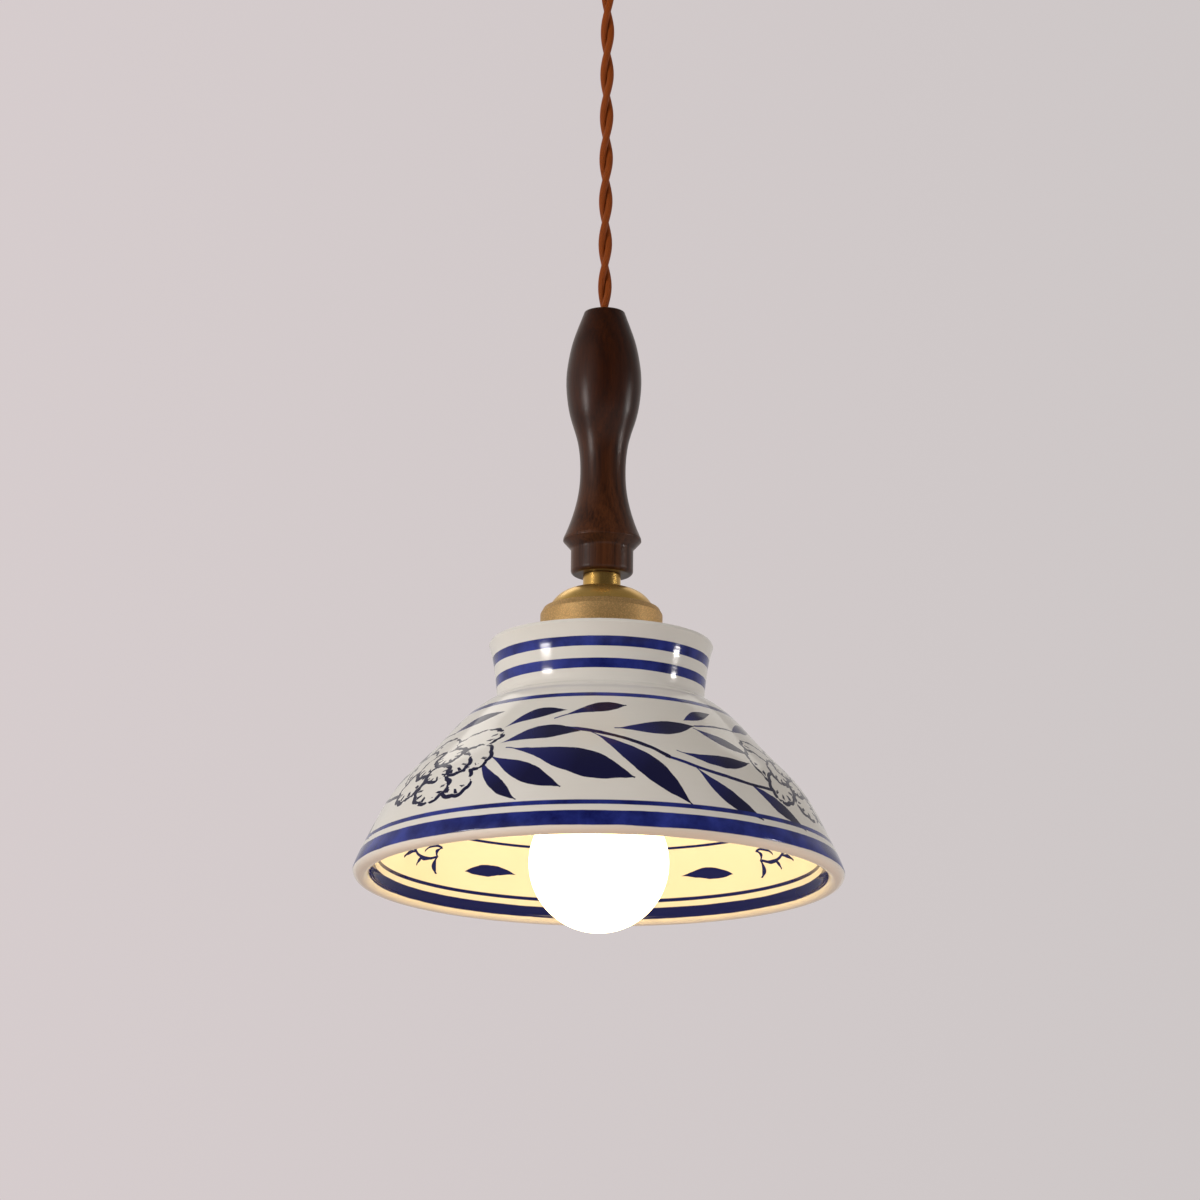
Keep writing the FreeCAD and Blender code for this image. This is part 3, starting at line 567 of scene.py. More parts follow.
# the painting; a stroke is its start and end (degrees round the lamp, mm above the rim), half
# width, bend, place of the belly (over 1 is nearer the end) and least half width
painting = {
    "repeat": 120.0,  # degrees from one flower to the next
    "leafWindow": -52.0,  # where a repeat of the leaves starts, and of the flower
    "flowerWindow": -111.0,
    "insideWindow": 90.0,  # the sprigs inside are mirrored at these degrees
    "softness": 0.22,  # mm over which a stroke's edge fades
    "leaves": [
        ((-33.8, 53.2), (-12.0, 60.4), 3.6, 3.4, 1.15, 0.0),
        ((-16, 56.0), (9.8, 63.0), 3.4, 1.8, 1.7, 0.4),
        ((-31, 44.6), (-6, 48.8), 5.3, 3.4, 1.15, 0.0),
        ((-28, 42.1), (8.8, 25.4), 7.6, 0.9, 1.5, 0.4),
        ((-32.4, 38.7), (-9.8, 20.9), 4.9, -0.4, 1.3, 0.35),
        ((-34.4, 36.6), (-20.4, 15.6), 3.1, -1.6, 1.2, 0.3),
        ((-3, 48.4), (22.6, 14.2), 5.8, 2.0, 1.3, 0.35),
        ((4.4, 50.7), (33.8, 55.3), 4.7, -1.4, 1.2, 0.35),
        ((30.2, 57.4), (46.8, 64.0), 2.7, 0.8, 1.0, 0.0),
        ((32.5, 54.0), (50.4, 44.2), 3.6, -0.4, 1.15, 0.35),
        ((21.8, 40.4), (47.0, 39.6), 3.7, -3.2, 1.25, 0.3),
        ((26.0, 33.4), (42.2, 11.8), 4.1, -2.6, 1.2, 0.4),
        ((-18, 51.4), (19.4, 36.7), 1.25, 4.6, 0.7, 1.05),
        ((18, 37.4), (58, 28.7), 1.0, -4.2, 1.0, 0.9),
        ((33.8, 55.3), (54, 56.8), 0.65, 1.0, 1.0, 0.5),
    ],
    # drawn twice instead of three times round
    "rarerLeaves": [
        ((42.0, 29.4), (58.8, 12.0), 3.8, -0.4, 1.2, 0.4),
    ],
    "flowerLeaves": [
        ((-63, 56.6), (-38.6, 62.6), 3.0, 1.4, 1.0, 0.0),
    ],
    "insideLeaves": [
        ((39.4, 18.0), (23.4, 19.6), 2.6, 1.2, 0.85, 0.0),
        ((49.4, 14.6), (50.8, 21.6), 1.3, -1.6, 0.9, 0.6),
        ((50.8, 21.6), (50.2, 25.6), 0.9, 1.8, 1.0, 0.6),
        ((50.2, 25.6), (56.6, 22.8), 0.8, 1.8, 1.0, 0.55),
        ((51.0, 21.6), (60.3, 21.6), 0.9, -1.8, 1.0, 0.6),
        ((60.3, 21.6), (65.6, 17.8), 0.9, 0.8, 1.0, 0.55),
        ((60.3, 21.6), (62.8, 26.6), 0.8, -0.8, 1.0, 0.5),
        ((60.0, 21.4), (66.6, 23.6), 0.8, 0.6, 1.0, 0.5),
        ((56.4, 20.4), (58.4, 16.2), 0.9, 0.6, 1.0, 0.5),
    ],
    # petals from the back one to the front one: middle in mm from the flower's, half sizes,
    # turn and scallops
    "flower": (-49.0, 37.8),
    "petals": [
        ((11.5, 14.5), (15.5, 8.5), 12, 5.5),
        ((-12.0, 13.5), (12.5, 8.5), -22, 4.5),
        ((-20.0, 3.0), (8.5, 11.5), 12, 4.5),
        ((18.0, 1.5), (9.5, 8.5), -25, 4.0),
        ((-15.5, -7.5), (10.5, 7.5), 38, 4.5),
        ((13.0, -10.5), (10.0, 7.5), -38, 4.0),
        ((1.0, -13.5), (10.0, 6.5), 2, 4.5),
        ((-9.0, 2.5), (9.5, 6.5), 42, 4.0),
        ((8.0, -0.5), (10.0, 6.5), -22, 4.0),
        ((0.5, 5.5), (8.5, 5.5), 12, 3.5),
        ((0.0, -5.0), (7.0, 4.5), 4, 3.0),
    ],
    # rings: lower and upper edge in mm above the rim
    "rings": [(3.0, 9.8), (12.6, 14.7), (67.8, 69.8), (83.5, 87.7), (92.8, 97.0)],
    "insideRings": [(2.2, 6.7), (9.0, 10.5), (30.6, 31.6)],
    "line": 1.0,  # mm, half the width of a petal's outline at its boldest
}


# the same for a turn counted from the back, on the inner wall
def insideTurn(turn):
    return 180 - paintTurn(180 - turn)


def paintStrokes(tree, group, place, strokes, inside=False):
    ink, depth = 0.0, 0.0
    for (startTurn, startHeight), (endTurn, endHeight), half, bend, belly, least in strokes:
        middle = (startHeight + endHeight) / 2
        perMm = math.degrees(1 / wallRadius(middle, inside))
        shift = insideTurn if inside else paintTurn
        start = Vector((shift(startTurn), paintDown(startHeight, inside), 0))
        run = Vector((shift(endTurn), paintDown(endHeight, inside), 0)) - start
        along = run.normalized()
        across = Vector((along.y, -along.x, 0))
        if (along.x < 0) != inside:
            across = -across
        made = useGroup(
            tree,
            group,
            Place=place,
            Start=start,
            Along=along / run.length,
            Across=across,
            Belly=belly,
            Bend=bend * perMm,
            Length=run.length,
            Least=least * perMm,
            Softness=painting["softness"] * perMm,
            **{"Half Width": half * perMm},
        )
        ink = mathNode(tree, "MAXIMUM", made["Ink"], ink)
        depth = mathNode(tree, "MAXIMUM", made["Depth"], depth)
    return ink, depth


def paintFlower(tree, group, place, fraying):
    turn, height = painting["flower"]
    perMm = math.degrees(1 / wallRadius(height))
    heart = Vector((paintTurn(turn), paintDown(height), 0))
    ink, fill = 0.0, 0.0
    for (right, up), (long, short), tilt, scallops in painting["petals"]:
        lean = math.radians(tilt)
        along = Vector((math.cos(lean), -math.sin(lean), 0))
        across = Vector((-math.sin(lean), -math.cos(lean), 0))
        petal = useGroup(
            tree,
            group,
            Place=place,
            Middle=heart + perMm * Vector((right, -up, 0)),
            Along=along / (long * perMm),
            Across=across / (short * perMm),
            Scallops=scallops,
            Fraying=fraying,
            **{"Half Line": 2 * painting["line"] / (long + short)},
        )
        behind = mathNode(tree, "SUBTRACT", 1.0, petal["Fill"])
        ink = mathNode(tree, "MAXIMUM", mathNode(tree, "MULTIPLY", ink, behind), petal["Ink"])
        fill = mathNode(tree, "MAXIMUM", fill, petal["Fill"])
    return ink, fill


# even blotches for wear, smudges and thicker or thinner ink
blotchLook = {"detail": 4.0, "roughness": 0.55, "spread": (0.3, 0.7)}


def blotchGroup():
    group, given, result = newGroup("blotches", ("Place",), ("Size", "Low", "High"), ("Value",))
    scale = mathNode(group, "DIVIDE", 1.0, given["Size"])
    blotch = noiseNode(group, given["Place"], scale, blotchLook["detail"], blotchLook["roughness"])
    spread = spreadNode(group, blotch, *blotchLook["spread"], given["Low"], given["High"])
    group.links.new(spread, result["Value"])
    return group


# fine rings left by turning on a lathe, round the vertical axis
turningLook = {"detail": 3.0, "roughness": 0.6, "uneven": 0.4}  # uneven from side to side


def turningGroup():
    group, given, result = newGroup("turning lines", ("Place",), ("Spacing",), ("Height",))
    x, y, z = split(group, given["Place"])
    radius = vectorNode(group, "LENGTH", joined(group, x, y))
    ring = mathNode(group, "DIVIDE", mathNode(group, "ADD", radius, z), given["Spacing"])
    slope = mathNode(group, "DIVIDE", mathNode(group, "SUBTRACT", radius, z), given["Spacing"])
    around = mathNode(group, "DIVIDE", x, radius)
    around = mathNode(group, "MULTIPLY", around, turningLook["uneven"])
    place = joined(group, ring, slope, around)
    lines = noiseNode(group, place, 1.0, turningLook["detail"], turningLook["roughness"])
    group.links.new(lines, result["Height"])
    return group


blotches = blotchGroup()
turning = turningGroup()


def blotchValue(tree, place, size, low, high):
    return useGroup(tree, blotches, Place=place, Size=size, Low=low, High=high)["Value"]


# colours of the glaze and of the blues under it
inks = {
    "glaze": (0.80, 0.77, 0.72),
    "glazeDeep": (0.76, 0.72, 0.65),
    "cobalt": (0.002, 0.005, 0.085),
    "cobaltThin": (0.026, 0.042, 0.290),
    "leaf": (0.006, 0.006, 0.043),
    "leafRoot": (0.016, 0.020, 0.145),
    "flowerLine": (0.003, 0.004, 0.038),
    "insideInk": (0.0015, 0.003, 0.090),
    "speck": (0.30, 0.24, 0.17),
}


# white glaze with the painting under it; a noise is its scale, detail and roughness, followed by
# the range of it that counts and what that becomes
glazeLook = {
    "ior": 1.5,
    "handNoise": 110.0,
    "handShake": (0.2, 0.8, -0.3, 0.3),  # degrees by which a brush line wanders
    "secondHand": (0.3, 0.7, 0.1),  # offset of the noise for the other direction
    "frayNoise": 190.0,
    "fraying": (0.32, 0.46, 0.0, 1.1),  # width of the petals' outline
    "ringNoise": (45.0, 3.0, 0.55),
    "ringWaver": (0.25, 0.75, 0.94, 1.06),  # width of the rings
    "ringSoftness": 0.18,
    "washSize": 0.012,
    "root": (0.1, 0.6),  # a leaf's ink gets darker between these shares of its length
    "toneSize": 0.09,
    "speckNoise": (700.0, 1.0, 0.3),
    "specks": (0.86, 0.9),
    "roughness": (0.03, 0.08, 0.13),  # size of its blotches, least and most
    "rippleNoise": (38.0, 0.0, 0.5),
    "throwingLines": 0.008,  # the potter's lines: how far apart and how strong
    "throwing": 0.15,
    "bumpHeight": 0.0006,
}


# both directions of the map with a hand's unsteadiness
def shakenPlace(tree, place, turn, down):
    shaken = []
    placeToo = vectorNode(tree, "ADD", place, glazeLook["secondHand"])
    for value, spot in ((turn, place), (down, placeToo)):
        shake = noiseNode(tree, spot, glazeLook["handNoise"])
        shake = spreadNode(tree, shake, *glazeLook["handShake"])
        shaken.append(mathNode(tree, "ADD", value, shake))
    return shaken


# the leaves' ink and how far along a leaf it is
def paintLeaves(tree, group, turn, leafPlace, flowerPlace, insidePlace):
    leaves, depth = paintStrokes(tree, group, leafPlace, painting["leaves"])
    rarer, rarerDepth = paintStrokes(tree, group, leafPlace, painting["rarerLeaves"])
    kept = mathNode(tree, "GREATER_THAN", turn, 0.0)
    rarer = mathNode(tree, "MULTIPLY", rarer, kept)
    besides, besideDepth = paintStrokes(tree, group, flowerPlace, painting["flowerLeaves"])
    insides, insideDepth = paintStrokes(tree, group, insidePlace, painting["insideLeaves"], True)
    for more in (rarer, besides, insides):
        leaves = mathNode(tree, "MAXIMUM", leaves, more)
    for more in (rarerDepth, besideDepth, insideDepth):
        depth = mathNode(tree, "MAXIMUM", depth, more)
    return leaves, depth, insides


def paintRings(tree, group, down, place, bands, inside):
    waver = noiseNode(tree, place, *glazeLook["ringNoise"])
    waver = spreadNode(tree, waver, *glazeLook["ringWaver"])
    ink = 0.0
    for low, high in bands:
        lower, upper = paintDown(low, inside), paintDown(high, inside)
        drawn = useGroup(
            tree,
            group,
            Down=down,
            Middle=(lower + upper) / 2,
            Waver=waver,
            Softness=glazeLook["ringSoftness"],
            **{"Half Width": abs(upper - lower) / 2},
        )
        ink = mathNode(tree, "MAXIMUM", drawn["Ink"], ink)
    return ink


def glazeMaterial():
    material, tree, shader = newMaterial("painted glaze", IOR=glazeLook["ior"])
    stroke, petal, ring = brushStrokeGroup(), petalGroup(), ringGroup()
    place = objectPlace(tree)
    onMap = vectorNode(tree, "MULTIPLY", mapPlace(tree, "painting"), (360, 360, 0))
    plainTurn, plainDown = split(tree, onMap)[:2]
    turn, down = shakenPlace(tree, place, plainTurn, plainDown)
    leafTurn = wrapped(tree, turn, painting["leafWindow"], painting["repeat"])
    flowerTurn = wrapped(tree, turn, painting["flowerWindow"], painting["repeat"])
    back = mathNode(tree, "SUBTRACT", 180.0, mathNode(tree, "ABSOLUTE", turn))
    mirrored = mathNode(tree, "PINGPONG", back, painting["insideWindow"])
    leafPlace = joined(tree, leafTurn, down)
    flowerPlace = joined(tree, flowerTurn, down)
    insidePlace = joined(tree, mirrored, down)
    leaves, depth, insides = paintLeaves(tree, stroke, turn, leafPlace, flowerPlace, insidePlace)
    fray = noiseNode(tree, place, glazeLook["frayNoise"])
    fraying = spreadNode(tree, fray, *glazeLook["fraying"])
    flower, filled = paintFlower(tree, petal, flowerPlace, fraying)
    rings = paintRings(tree, ring, plainDown, place, painting["rings"], False)
    insideRings = paintRings(tree, ring, plainDown, place, painting["insideRings"], True)
    leaves = mathNode(tree, "MULTIPLY", leaves, mathNode(tree, "SUBTRACT", 1.0, filled))
    washed = blotchValue(tree, place, glazeLook["washSize"], 0.0, 1.0)
    cobalt = blendNode(tree, washed, inks["cobalt"], inks["cobaltThin"])
    root = spreadNode(tree, depth, *glazeLook["root"])
    leafColour = blendNode(tree, root, inks["leafRoot"], inks["leaf"])
    tone = blotchValue(tree, place, glazeLook["toneSize"], 0.0, 1.0)
    glaze = blendNode(tree, tone, inks["glaze"], inks["glazeDeep"])
    speck = noiseNode(tree, place, *glazeLook["speckNoise"])
    speck = spreadNode(tree, speck, *glazeLook["specks"])
    glaze = blendNode(tree, speck, glaze, inks["speck"])
    colour = blendNode(tree, leaves, glaze, leafColour)
    colour = blendNode(tree, flower, colour, inks["flowerLine"])
    colour = blendNode(tree, rings, colour, cobalt)
    insideInk = mathNode(tree, "MAXIMUM", insideRings, insides)
    colour = blendNode(tree, insideInk, colour, inks["insideInk"])
    gloss = blotchValue(tree, place, *glazeLook["roughness"])
    ripple = noiseNode(tree, place, *glazeLook["rippleNoise"])
    lines = useGroup(tree, turning, Place=place, Spacing=glazeLook["throwingLines"])["Height"]
    relief = mathNode(tree, "MULTIPLY_ADD", lines, glazeLook["throwing"], ripple)
    feed(tree, shader, colour, gloss, relief, glazeLook["bumpHeight"])
    return material


# turned metal: colour, worn colour, roughness range, spacing of the turning lines, how deep they
# are and the share of bare metal
metals = {
    "satin_brass": ((0.90, 0.58, 0.17), (0.82, 0.50, 0.13), (0.25, 0.33), 3.5e-4, 1e-5, 0.85),
    "polished_brass": ((0.88, 0.57, 0.17), (0.80, 0.48, 0.13), (0.20, 0.27), 2.5e-4, 4e-6, 1.0),
    "zinc_steel": ((0.58, 0.59, 0.60), (0.50, 0.49, 0.44), (0.26, 0.42), 4e-4, 1e-5, 1.0),
    "nickel_cap": ((0.62, 0.59, 0.54), (0.55, 0.51, 0.45), (0.18, 0.28), 3e-4, 6e-6, 1.0),
    "led_aluminium": ((0.78, 0.78, 0.79), (0.70, 0.70, 0.71), (0.30, 0.42), 4e-4, 6e-6, 1.0),
}
metalWear = {"tarnishSize": 0.018, "glossSize": 0.007}


def metalMaterial(name):
    colour, worn, (smooth, rough), spacing, depth, bare = metals[name]
    material, tree, shader = newMaterial(name + " finish", Metallic=bare)
    place = objectPlace(tree)
    tarnish = blotchValue(tree, place, metalWear["tarnishSize"], 0.0, 1.0)
    gloss = blotchValue(tree, place, metalWear["glossSize"], smooth, rough)
    lines = useGroup(tree, turning, Place=place, Spacing=spacing)["Height"]
    feed(tree, shader, blendNode(tree, tarnish, colour, worn), gloss, lines, depth)
    return material


# brass with a fine stippled face, darker in its pits
stipple = {
    "bare": 0.75,
    "cells": 1700.0,
    "grainNoise": (900.0, 2.0, 0.6),
    "grain": 0.8,
    "pits": (0.45, 1.0),
    "high": (0.88, 0.58, 0.25),
    "low": (0.62, 0.39, 0.16),
    "roughness": (0.006, 0.48, 0.60),  # size of its blotches, least and most
    "bumpHeight": -6e-5,
}


def stippledMaterial():
    material, tree, shader = newMaterial("stippled brass", Metallic=stipple["bare"])
    place = objectPlace(tree)
    cells = tree.nodes.new("ShaderNodeTexVoronoi")
    cells.inputs["Scale"].default_value = stipple["cells"]
    linkTo(tree, place, cells.inputs["Vector"])
    grain = noiseNode(tree, place, *stipple["grainNoise"])
    grain = mathNode(tree, "MULTIPLY", grain, stipple["grain"])
    height = mathNode(tree, "ADD", cells.outputs["Distance"], grain)
    pits = spreadNode(tree, height, *stipple["pits"])
    colour = blendNode(tree, pits, stipple["high"], stipple["low"])
    gloss = blotchValue(tree, place, *stipple["roughness"])
    feed(tree, shader, colour, gloss, height, stipple["bumpHeight"])
    return material


# dark walnut: soft rings of the tree about an axis beside the handle, fibres and pores along it,
# satin lacquer, and painted light that makes the flare paler; a noise is its stretch along x, y
# and z, detail and roughness
wood = {
    "heart": (0.050, 0.066, 0.0),
    "heartStretch": (1, 1, 0.03),
    "ringWidth": 0.0046,
    "ringWander": 1.6,
    "ringTone": 0.07,
    "streakNoise": ((55, 55, 7), 2.0, 0.45),
    "streakTone": 0.5,
    "fibreNoise": ((1100, 1100, 26), 3.0, 0.6),
    "fibreTone": 0.7,
    "tones": (0.35, 0.95),
    "dark": (0.0110, 0.0018, 0.0002),
    "light": (0.0500, 0.0105, 0.0012),
    # painted light: the paler, redder colour towards the flare stands in for light falling on its
    # upward-facing surface
    "paintedLight": (0.1050, 0.0330, 0.0100),
    "paintedLightHeights": (-0.235, -0.292),  # the wood gets paler between these
    "poreNoise": ((2400, 2400, 120), 1.0, 0.5),
    "pores": (0.60, 0.70),
    "pore": (0.0070, 0.0022, 0.0009),
    "poreShare": 0.4,
    "gloss": 0.04,
    "lacquer": 0.7,
    "lacquerRoughness": 0.30,
    "roughness": (0.012, 0.36, 0.48),  # size of its blotches, least and most
    "turningLines": 0.0012,
    "turning": 0.4,
    "bumpHeight": 3e-5,
}


def stretchedNoise(tree, place, stretch, detail, roughness):
    return noiseNode(tree, vectorNode(tree, "MULTIPLY", place, stretch), 1.0, detail, roughness)


def woodMaterial():
    material, tree, shader = newMaterial(
        "lacquered walnut",
        Coat_Weight=wood["lacquer"],
        Coat_Roughness=wood["lacquerRoughness"],
        Specular_IOR_Level=wood["gloss"],
    )
    place = objectPlace(tree)
    streak = stretchedNoise(tree, place, *wood["streakNoise"])
    fromHeart = vectorNode(tree, "SUBTRACT", place, wood["heart"])
    fromHeart = vectorNode(tree, "MULTIPLY", fromHeart, wood["heartStretch"])
    ring = mathNode(tree, "DIVIDE", vectorNode(tree, "LENGTH", fromHeart), wood["ringWidth"])
    ring = mathNode(tree, "MULTIPLY_ADD", streak, wood["ringWander"], ring)
    ring = mathNode(tree, "SINE", mathNode(tree, "MULTIPLY", ring, 2 * math.pi))
    fibre = stretchedNoise(tree, place, *wood["fibreNoise"])
    tone = mathNode(tree, "MULTIPLY", fibre, wood["fibreTone"])
    tone = mathNode(tree, "MULTIPLY_ADD", ring, wood["ringTone"], tone)
    tone = mathNode(tree, "MULTIPLY_ADD", streak, wood["streakTone"], tone)
    tone = spreadNode(tree, tone, *wood["tones"])
    height = split(tree, place)[2]
    # painted light: the handle is coloured paler between these heights, as if lit from above
    paintedLight = mathNode(tree, "MULTIPLY", spreadNode(tree, height, *wood["paintedLightHeights"]), tone)
    pores = stretchedNoise(tree, place, *wood["poreNoise"])
    pores = spreadNode(tree, pores, *wood["pores"])
    colour = blendNode(tree, tone, wood["dark"], wood["light"])
    colour = blendNode(tree, paintedLight, colour, wood["paintedLight"])
    inPores = mathNode(tree, "MULTIPLY", pores, wood["poreShare"])
    colour = blendNode(tree, inPores, colour, wood["pore"])
    gloss = blotchValue(tree, place, *wood["roughness"])
    lines = useGroup(tree, turning, Place=place, Spacing=wood["turningLines"])["Height"]
    lines = mathNode(tree, "MULTIPLY", lines, wood["turning"])
    relief = mathNode(tree, "SUBTRACT", lines, pores)
    feed(tree, shader, colour, gloss, relief, wood["bumpHeight"])
    return material


# braided textile: two sets of yarns that pass over and under each other on the strand's map;
# painted shade darkens the valleys between them
yarns = {
    "around": 12.0,  # yarns round a strand
    "along": 5.0,
    "roundness": 0.6,
    "under": 0.5,  # height of the yarn that passes under
    "crossing": (0.4, 0.6),
    "threadNoise": (5200.0, 2.0, 0.6),
    # painted shade: how much the braid's height lightens the raised yarns and darkens the valleys
    "paintedValleyShade": 0.55,
    "threadTone": 0.45,
    "tones": (0.35, 1.05),
    "dark": (0.070, 0.013, 0.002),
    "light": (0.33, 0.070, 0.007),
    "fluff": 0.04,
    "fluffRoughness": 0.4,
    "gloss": 0.2,
    "roughness": (0.004, 0.42, 0.60),  # size of its blotches, least and most
    "threads": 0.5,
    "bumpHeight": 9e-5,
}


def braidMaterial():
    material, tree, shader = newMaterial(
        "braided textile",
        Sheen_Weight=yarns["fluff"],
        Sheen_Roughness=yarns["fluffRoughness"],
        Specular_IOR_Level=yarns["gloss"],
    )
    place = objectPlace(tree)
    around, along = split(tree, mapPlace(tree, "braid"))[:2]
    around = mathNode(tree, "MULTIPLY", around, yarns["around"])
    along = mathNode(tree, "MULTIPLY", along, yarns["along"])
    rising = mathNode(tree, "ADD", around, along)
    falling = mathNode(tree, "SUBTRACT", around, along)
    over = mathNode(tree, "FLOOR", rising)
    over = mathNode(tree, "ADD", over, mathNode(tree, "FLOOR", falling))
    over = mathNode(tree, "MODULO", mathNode(tree, "ABSOLUTE", over), 2.0)
    humps = []
    for yarn in (rising, falling):
        hump = mathNode(tree, "MULTIPLY", mathNode(tree, "FRACT", yarn), math.pi)
        humps.append(mathNode(tree, "SINE", hump))
    above = spreadNode(tree, over, *yarns["crossing"], humps[0], humps[1])
    beside = spreadNode(tree, over, *yarns["crossing"], humps[1], humps[0])
    beside = mathNode(tree, "MULTIPLY", beside, yarns["under"])
    above = mathNode(tree, "POWER", above, yarns["roundness"])
    height = mathNode(tree, "ADD", above, beside)
    threads = noiseNode(tree, place, *yarns["threadNoise"])
    tone = mathNode(tree, "MULTIPLY", threads, yarns["threadTone"])
    # painted shade: the colour darkens with the braid's height, in the valleys and where a yarn
    # passes under
    tone = mathNode(tree, "MULTIPLY_ADD", height, yarns["paintedValleyShade"], tone)
    tone = spreadNode(tree, tone, *yarns["tones"])
    colour = blendNode(tree, tone, yarns["dark"], yarns["light"])
    gloss = blotchValue(tree, place, *yarns["roughness"])
    threads = mathNode(tree, "MULTIPLY", threads, yarns["threads"])
    relief = mathNode(tree, "ADD", height, threads)
    feed(tree, shader, colour, gloss, relief, yarns["bumpHeight"])
    return material


# plain bodies: colour, worn colour, roughness range, size of the grain and how deep it is
plain = {
    "black_nylon": ((0.020, 0.020, 0.021), (0.032, 0.032, 0.033), (0.40, 0.52), 0.0006, 3e-5),
    "white_nylon": ((0.74, 0.72, 0.67), (0.68, 0.65, 0.58), (0.36, 0.48), 0.0008, 2e-5),
    "brown_core": ((0.130, 0.050, 0.022), (0.105, 0.038, 0.016), (0.32, 0.42), 0.0009, 1e-5),
    "blue_core": ((0.020, 0.090, 0.340), (0.016, 0.070, 0.270), (0.32, 0.42), 0.0009, 1e-5),
    "black_rubber": ((0.028, 0.027, 0.026), (0.045, 0.043, 0.040), (0.66, 0.80), 0.0005, 4e-5),
    "red_fibre": ((0.235, 0.040, 0.024), (0.170, 0.028, 0.018), (0.52, 0.66), 0.0007, 4e-5),
    "black_bakelite": ((0.016, 0.012, 0.010), (0.040, 0.022, 0.014), (0.16, 0.26), 0.0030, 1e-5),
    "porcelain": ((0.80, 0.79, 0.75), (0.74, 0.72, 0.66), (0.10, 0.18), 0.0040, 3e-5),
    "black_glass": ((0.008, 0.008, 0.010), (0.014, 0.014, 0.017), (0.04, 0.08), 0.0030, 1e-5),
}
plainWear = {"tone": 12, "gloss": 5}  # sizes of their blotches in grains


def plainMaterial(name):
    colour, worn, (smooth, rough), size, depth = plain[name]
    material, tree, shader = newMaterial(name + " finish")
    place = objectPlace(tree)
    wear = blotchValue(tree, place, size * plainWear["tone"], 0.0, 1.0)
    gloss = blotchValue(tree, place, size * plainWear["gloss"], smooth, rough)
    grain = noiseNode(tree, place, 1 / size)
    feed(tree, shader, blendNode(tree, wear, colour, worn), gloss, grain, depth)
    return material


# lit parts: the two colours of their glow, how strong it is, and the roughness
lit = {
    "opal_glass": ((1.0, 0.80, 0.40), (1.0, 0.765, 0.345), 7.6, 0.16),
    "led_yellow": ((1.0, 0.62, 0.12), (0.9, 0.5, 0.08), 2.0, 0.35),
}
glowSize = 0.02  # of the warmer blotches


def litMaterial(name):
    warm, warmer, strength, roughness = lit[name]
    material, tree, shader = newMaterial(
        name + " finish", Emission_Strength=strength, Roughness=roughness
    )
    place = objectPlace(tree)
    glow = blendNode(tree, blotchValue(tree, place, glowSize, 0.0, 1.0), warm, warmer)
    tree.links.new(glow, shader.inputs["Emission Color"])
    tree.links.new(glow, shader.inputs["Base Color"])
    return material


finishes = {name: metalMaterial(name) for name in metals}
finishes.update({name: plainMaterial(name) for name in plain})
finishes.update({name: litMaterial(name) for name in lit})
finishes["textured_brass"] = stippledMaterial()
finishes["dark_walnut"] = woodMaterial()
finishes["brown_textile"] = braidMaterial()
finishes["white_glaze"] = glazeMaterial()
for node in nodes.values():
    for place in node.material_slots:
        place.material = finishes[place.material.name]
for piece in (cordPair, tailPair):
    piece.data.materials.append(finishes["brown_textile"])
shadePiece.data.materials.append(finishes["white_glaze"])
print("finishes made:", len(finishes))


# surroundings: a pale floor, a pale backdrop that the camera sees, and a room that the glaze, the
# brass and the lacquer reflect
room = {
    "aimAboveRim": 0.09,
    "floorHeight": -3.6,
    "floorSize": 60.0,
    "floorColours": ((0.86, 0.845, 0.835), (0.82, 0.805, 0.795)),
    "floorRoughness": 0.8,
    "floorBlotches": 0.5,
    "floorGlow": (0.22, 0.45),  # as it lights the lamp and as the camera sees it
    "backdropLeft": (0.672, 0.606, 0.612),
    "backdropRight": (0.615, 0.572, 0.572),
    "dim": (0.085, 0.080, 0.076),
    "bright": (0.60, 0.57, 0.55),
    # the room's light, by direction: from dim to bright towards the back and to the left, weaker
    # overhead and on the right
    "towardsBack": (-0.6, 0.8),
    "towardsLeft": (-0.15, -0.95, 0.0, 0.9),
    "overhead": (0.4, 0.85, 1.0, 0.3),
    "onTheRight": (0.2, 0.9, 1.0, 0.5),
    "backdropBlend": (-0.1, 0.1),
}

# soft lamps, and small ones whose reflections are the glints on the foot ring: turn round the
# lamp, elevation, distance, width, height, watts, colour and whether reflections show it
lamps = {
    "left key": (-48, 22, 1.8, 0.9, 0.9, 14.5, (1.0, 0.97, 0.94), False),
    "left glint": (-60, 6.5, 1.5, 0.34, 0.09, 1.8, (1.0, 0.97, 0.95), True),
    "left glint low": (-61, -1.5, 1.5, 0.32, 0.09, 1.8, (1.0, 0.97, 0.95), True),
    "right glint": (85, 12.5, 1.3, 0.14, 0.025, 0.2, (1.0, 0.96, 0.93), True),
    "right glint middle": (86, 6.3, 1.3, 0.17, 0.05, 0.9, (1.0, 0.96, 0.93), True),
    "right glint low": (86, 0.7, 1.3, 0.18, 0.045, 1.0, (1.0, 0.96, 0.93), True),
    "back left": (-158, 46, 2.2, 1.4, 0.8, 3.0, (1.0, 0.96, 0.90), True),
    "back right": (153, 44, 2.2, 0.8, 0.7, 0.9, (1.0, 0.96, 0.90), True),
    "front fill": (56, 12, 2.6, 1.8, 1.8, 15, (1.0, 0.97, 0.95), False),
    "floor bounce": (0, -70, 1.6, 1.4, 1.4, 7.5, (1.0, 0.44, 0.10), False),
}


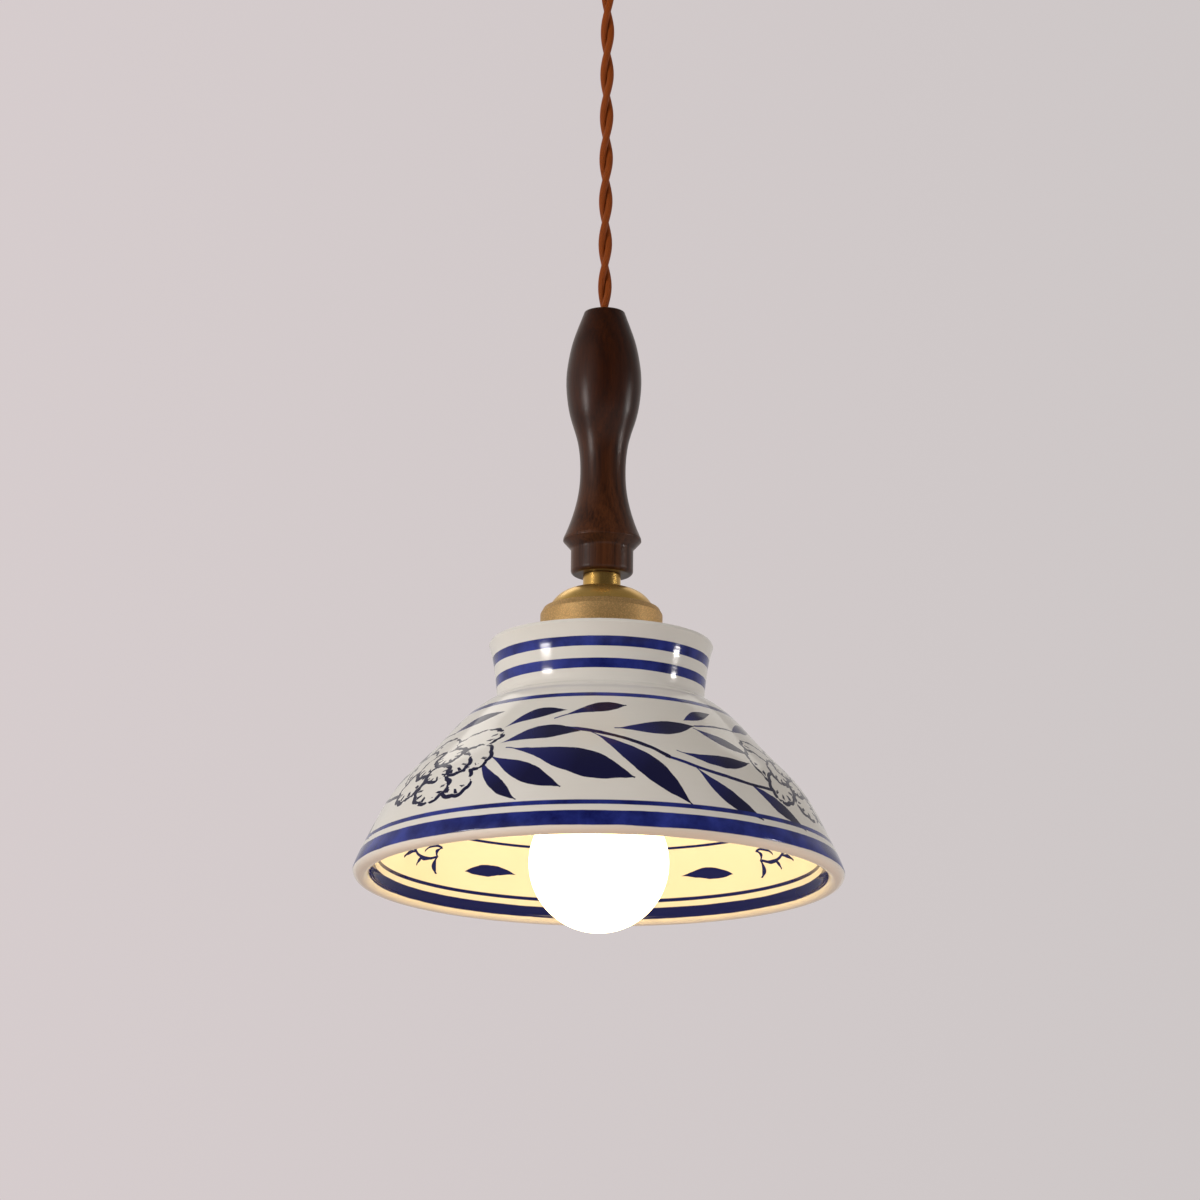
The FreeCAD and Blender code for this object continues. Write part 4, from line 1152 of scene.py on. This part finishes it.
def addFloor():
    bpy.ops.mesh.primitive_plane_add(size=room["floorSize"], location=(0, 0, room["floorHeight"]))
    floor = bpy.context.object
    floor.name = "floor"
    material, tree, shader = newMaterial("floor paint", Roughness=room["floorRoughness"])
    one, other = room["floorColours"]
    share = blotchValue(tree, objectPlace(tree), room["floorBlotches"], 0.0, 1.0)
    tree.links.new(blendNode(tree, share, one, other), shader.inputs["Base Color"])
    shader.inputs["Emission Color"].default_value = (*one, 1.0)
    seen = tree.nodes.new("ShaderNodeLightPath").outputs["Is Camera Ray"]
    glow = spreadNode(tree, seen, 0.0, 1.0, *room["floorGlow"])
    tree.links.new(glow, shader.inputs["Emission Strength"])
    floor.data.materials.append(material)


def addLamp(name, turn, elevation, distance, width, height, watts, colour, reflected):
    data = bpy.data.lights.new(name, "AREA")
    data.shape = "ELLIPSE"
    data.size, data.size_y = width, height
    data.energy, data.color = watts, colour
    light = bpy.data.objects.new(name, data)
    bpy.context.scene.collection.objects.link(light)
    aim = Vector((0, 0, rimHeight + room["aimAboveRim"]))
    turn, elevation = math.radians(turn), math.radians(elevation)
    across = distance * math.cos(elevation)
    up = distance * math.sin(elevation)
    offset = Vector((across * math.sin(turn), -across * math.cos(turn), up))
    turned = offset.to_track_quat("Z", "Y").to_matrix().to_4x4()
    light.matrix_world = Matrix.Translation(aim + offset) @ turned
    light.visible_camera = False
    light.visible_glossy = reflected


def addWorld():
    world = bpy.data.worlds.new("room")
    bpy.context.scene.world = world
    world.use_nodes = True
    tree = world.node_tree
    surface = tree.nodes["Background"].inputs["Color"]
    seen = tree.nodes.new("ShaderNodeLightPath").outputs["Is Camera Ray"]
    direction = tree.nodes.new("ShaderNodeTexCoord").outputs["Generated"]
    across, along, up = split(tree, direction)
    behind = spreadNode(tree, along, *room["towardsBack"])
    share = mathNode(tree, "MAXIMUM", behind, spreadNode(tree, across, *room["towardsLeft"]))
    share = mathNode(tree, "MULTIPLY", share, spreadNode(tree, up, *room["overhead"]))
    share = mathNode(tree, "MULTIPLY", share, spreadNode(tree, across, *room["onTheRight"]))
    lighting = blendNode(tree, share, room["dim"], room["bright"])
    side = spreadNode(tree, across, *room["backdropBlend"])
    backdrop = blendNode(tree, side, room["backdropLeft"], room["backdropRight"])
    tree.links.new(blendNode(tree, seen, lighting, backdrop), surface)


addFloor()
for name, values in lamps.items():
    addLamp(name, *values)
addWorld()
bpy.context.scene.view_settings.view_transform = "Standard"
print("room lit")
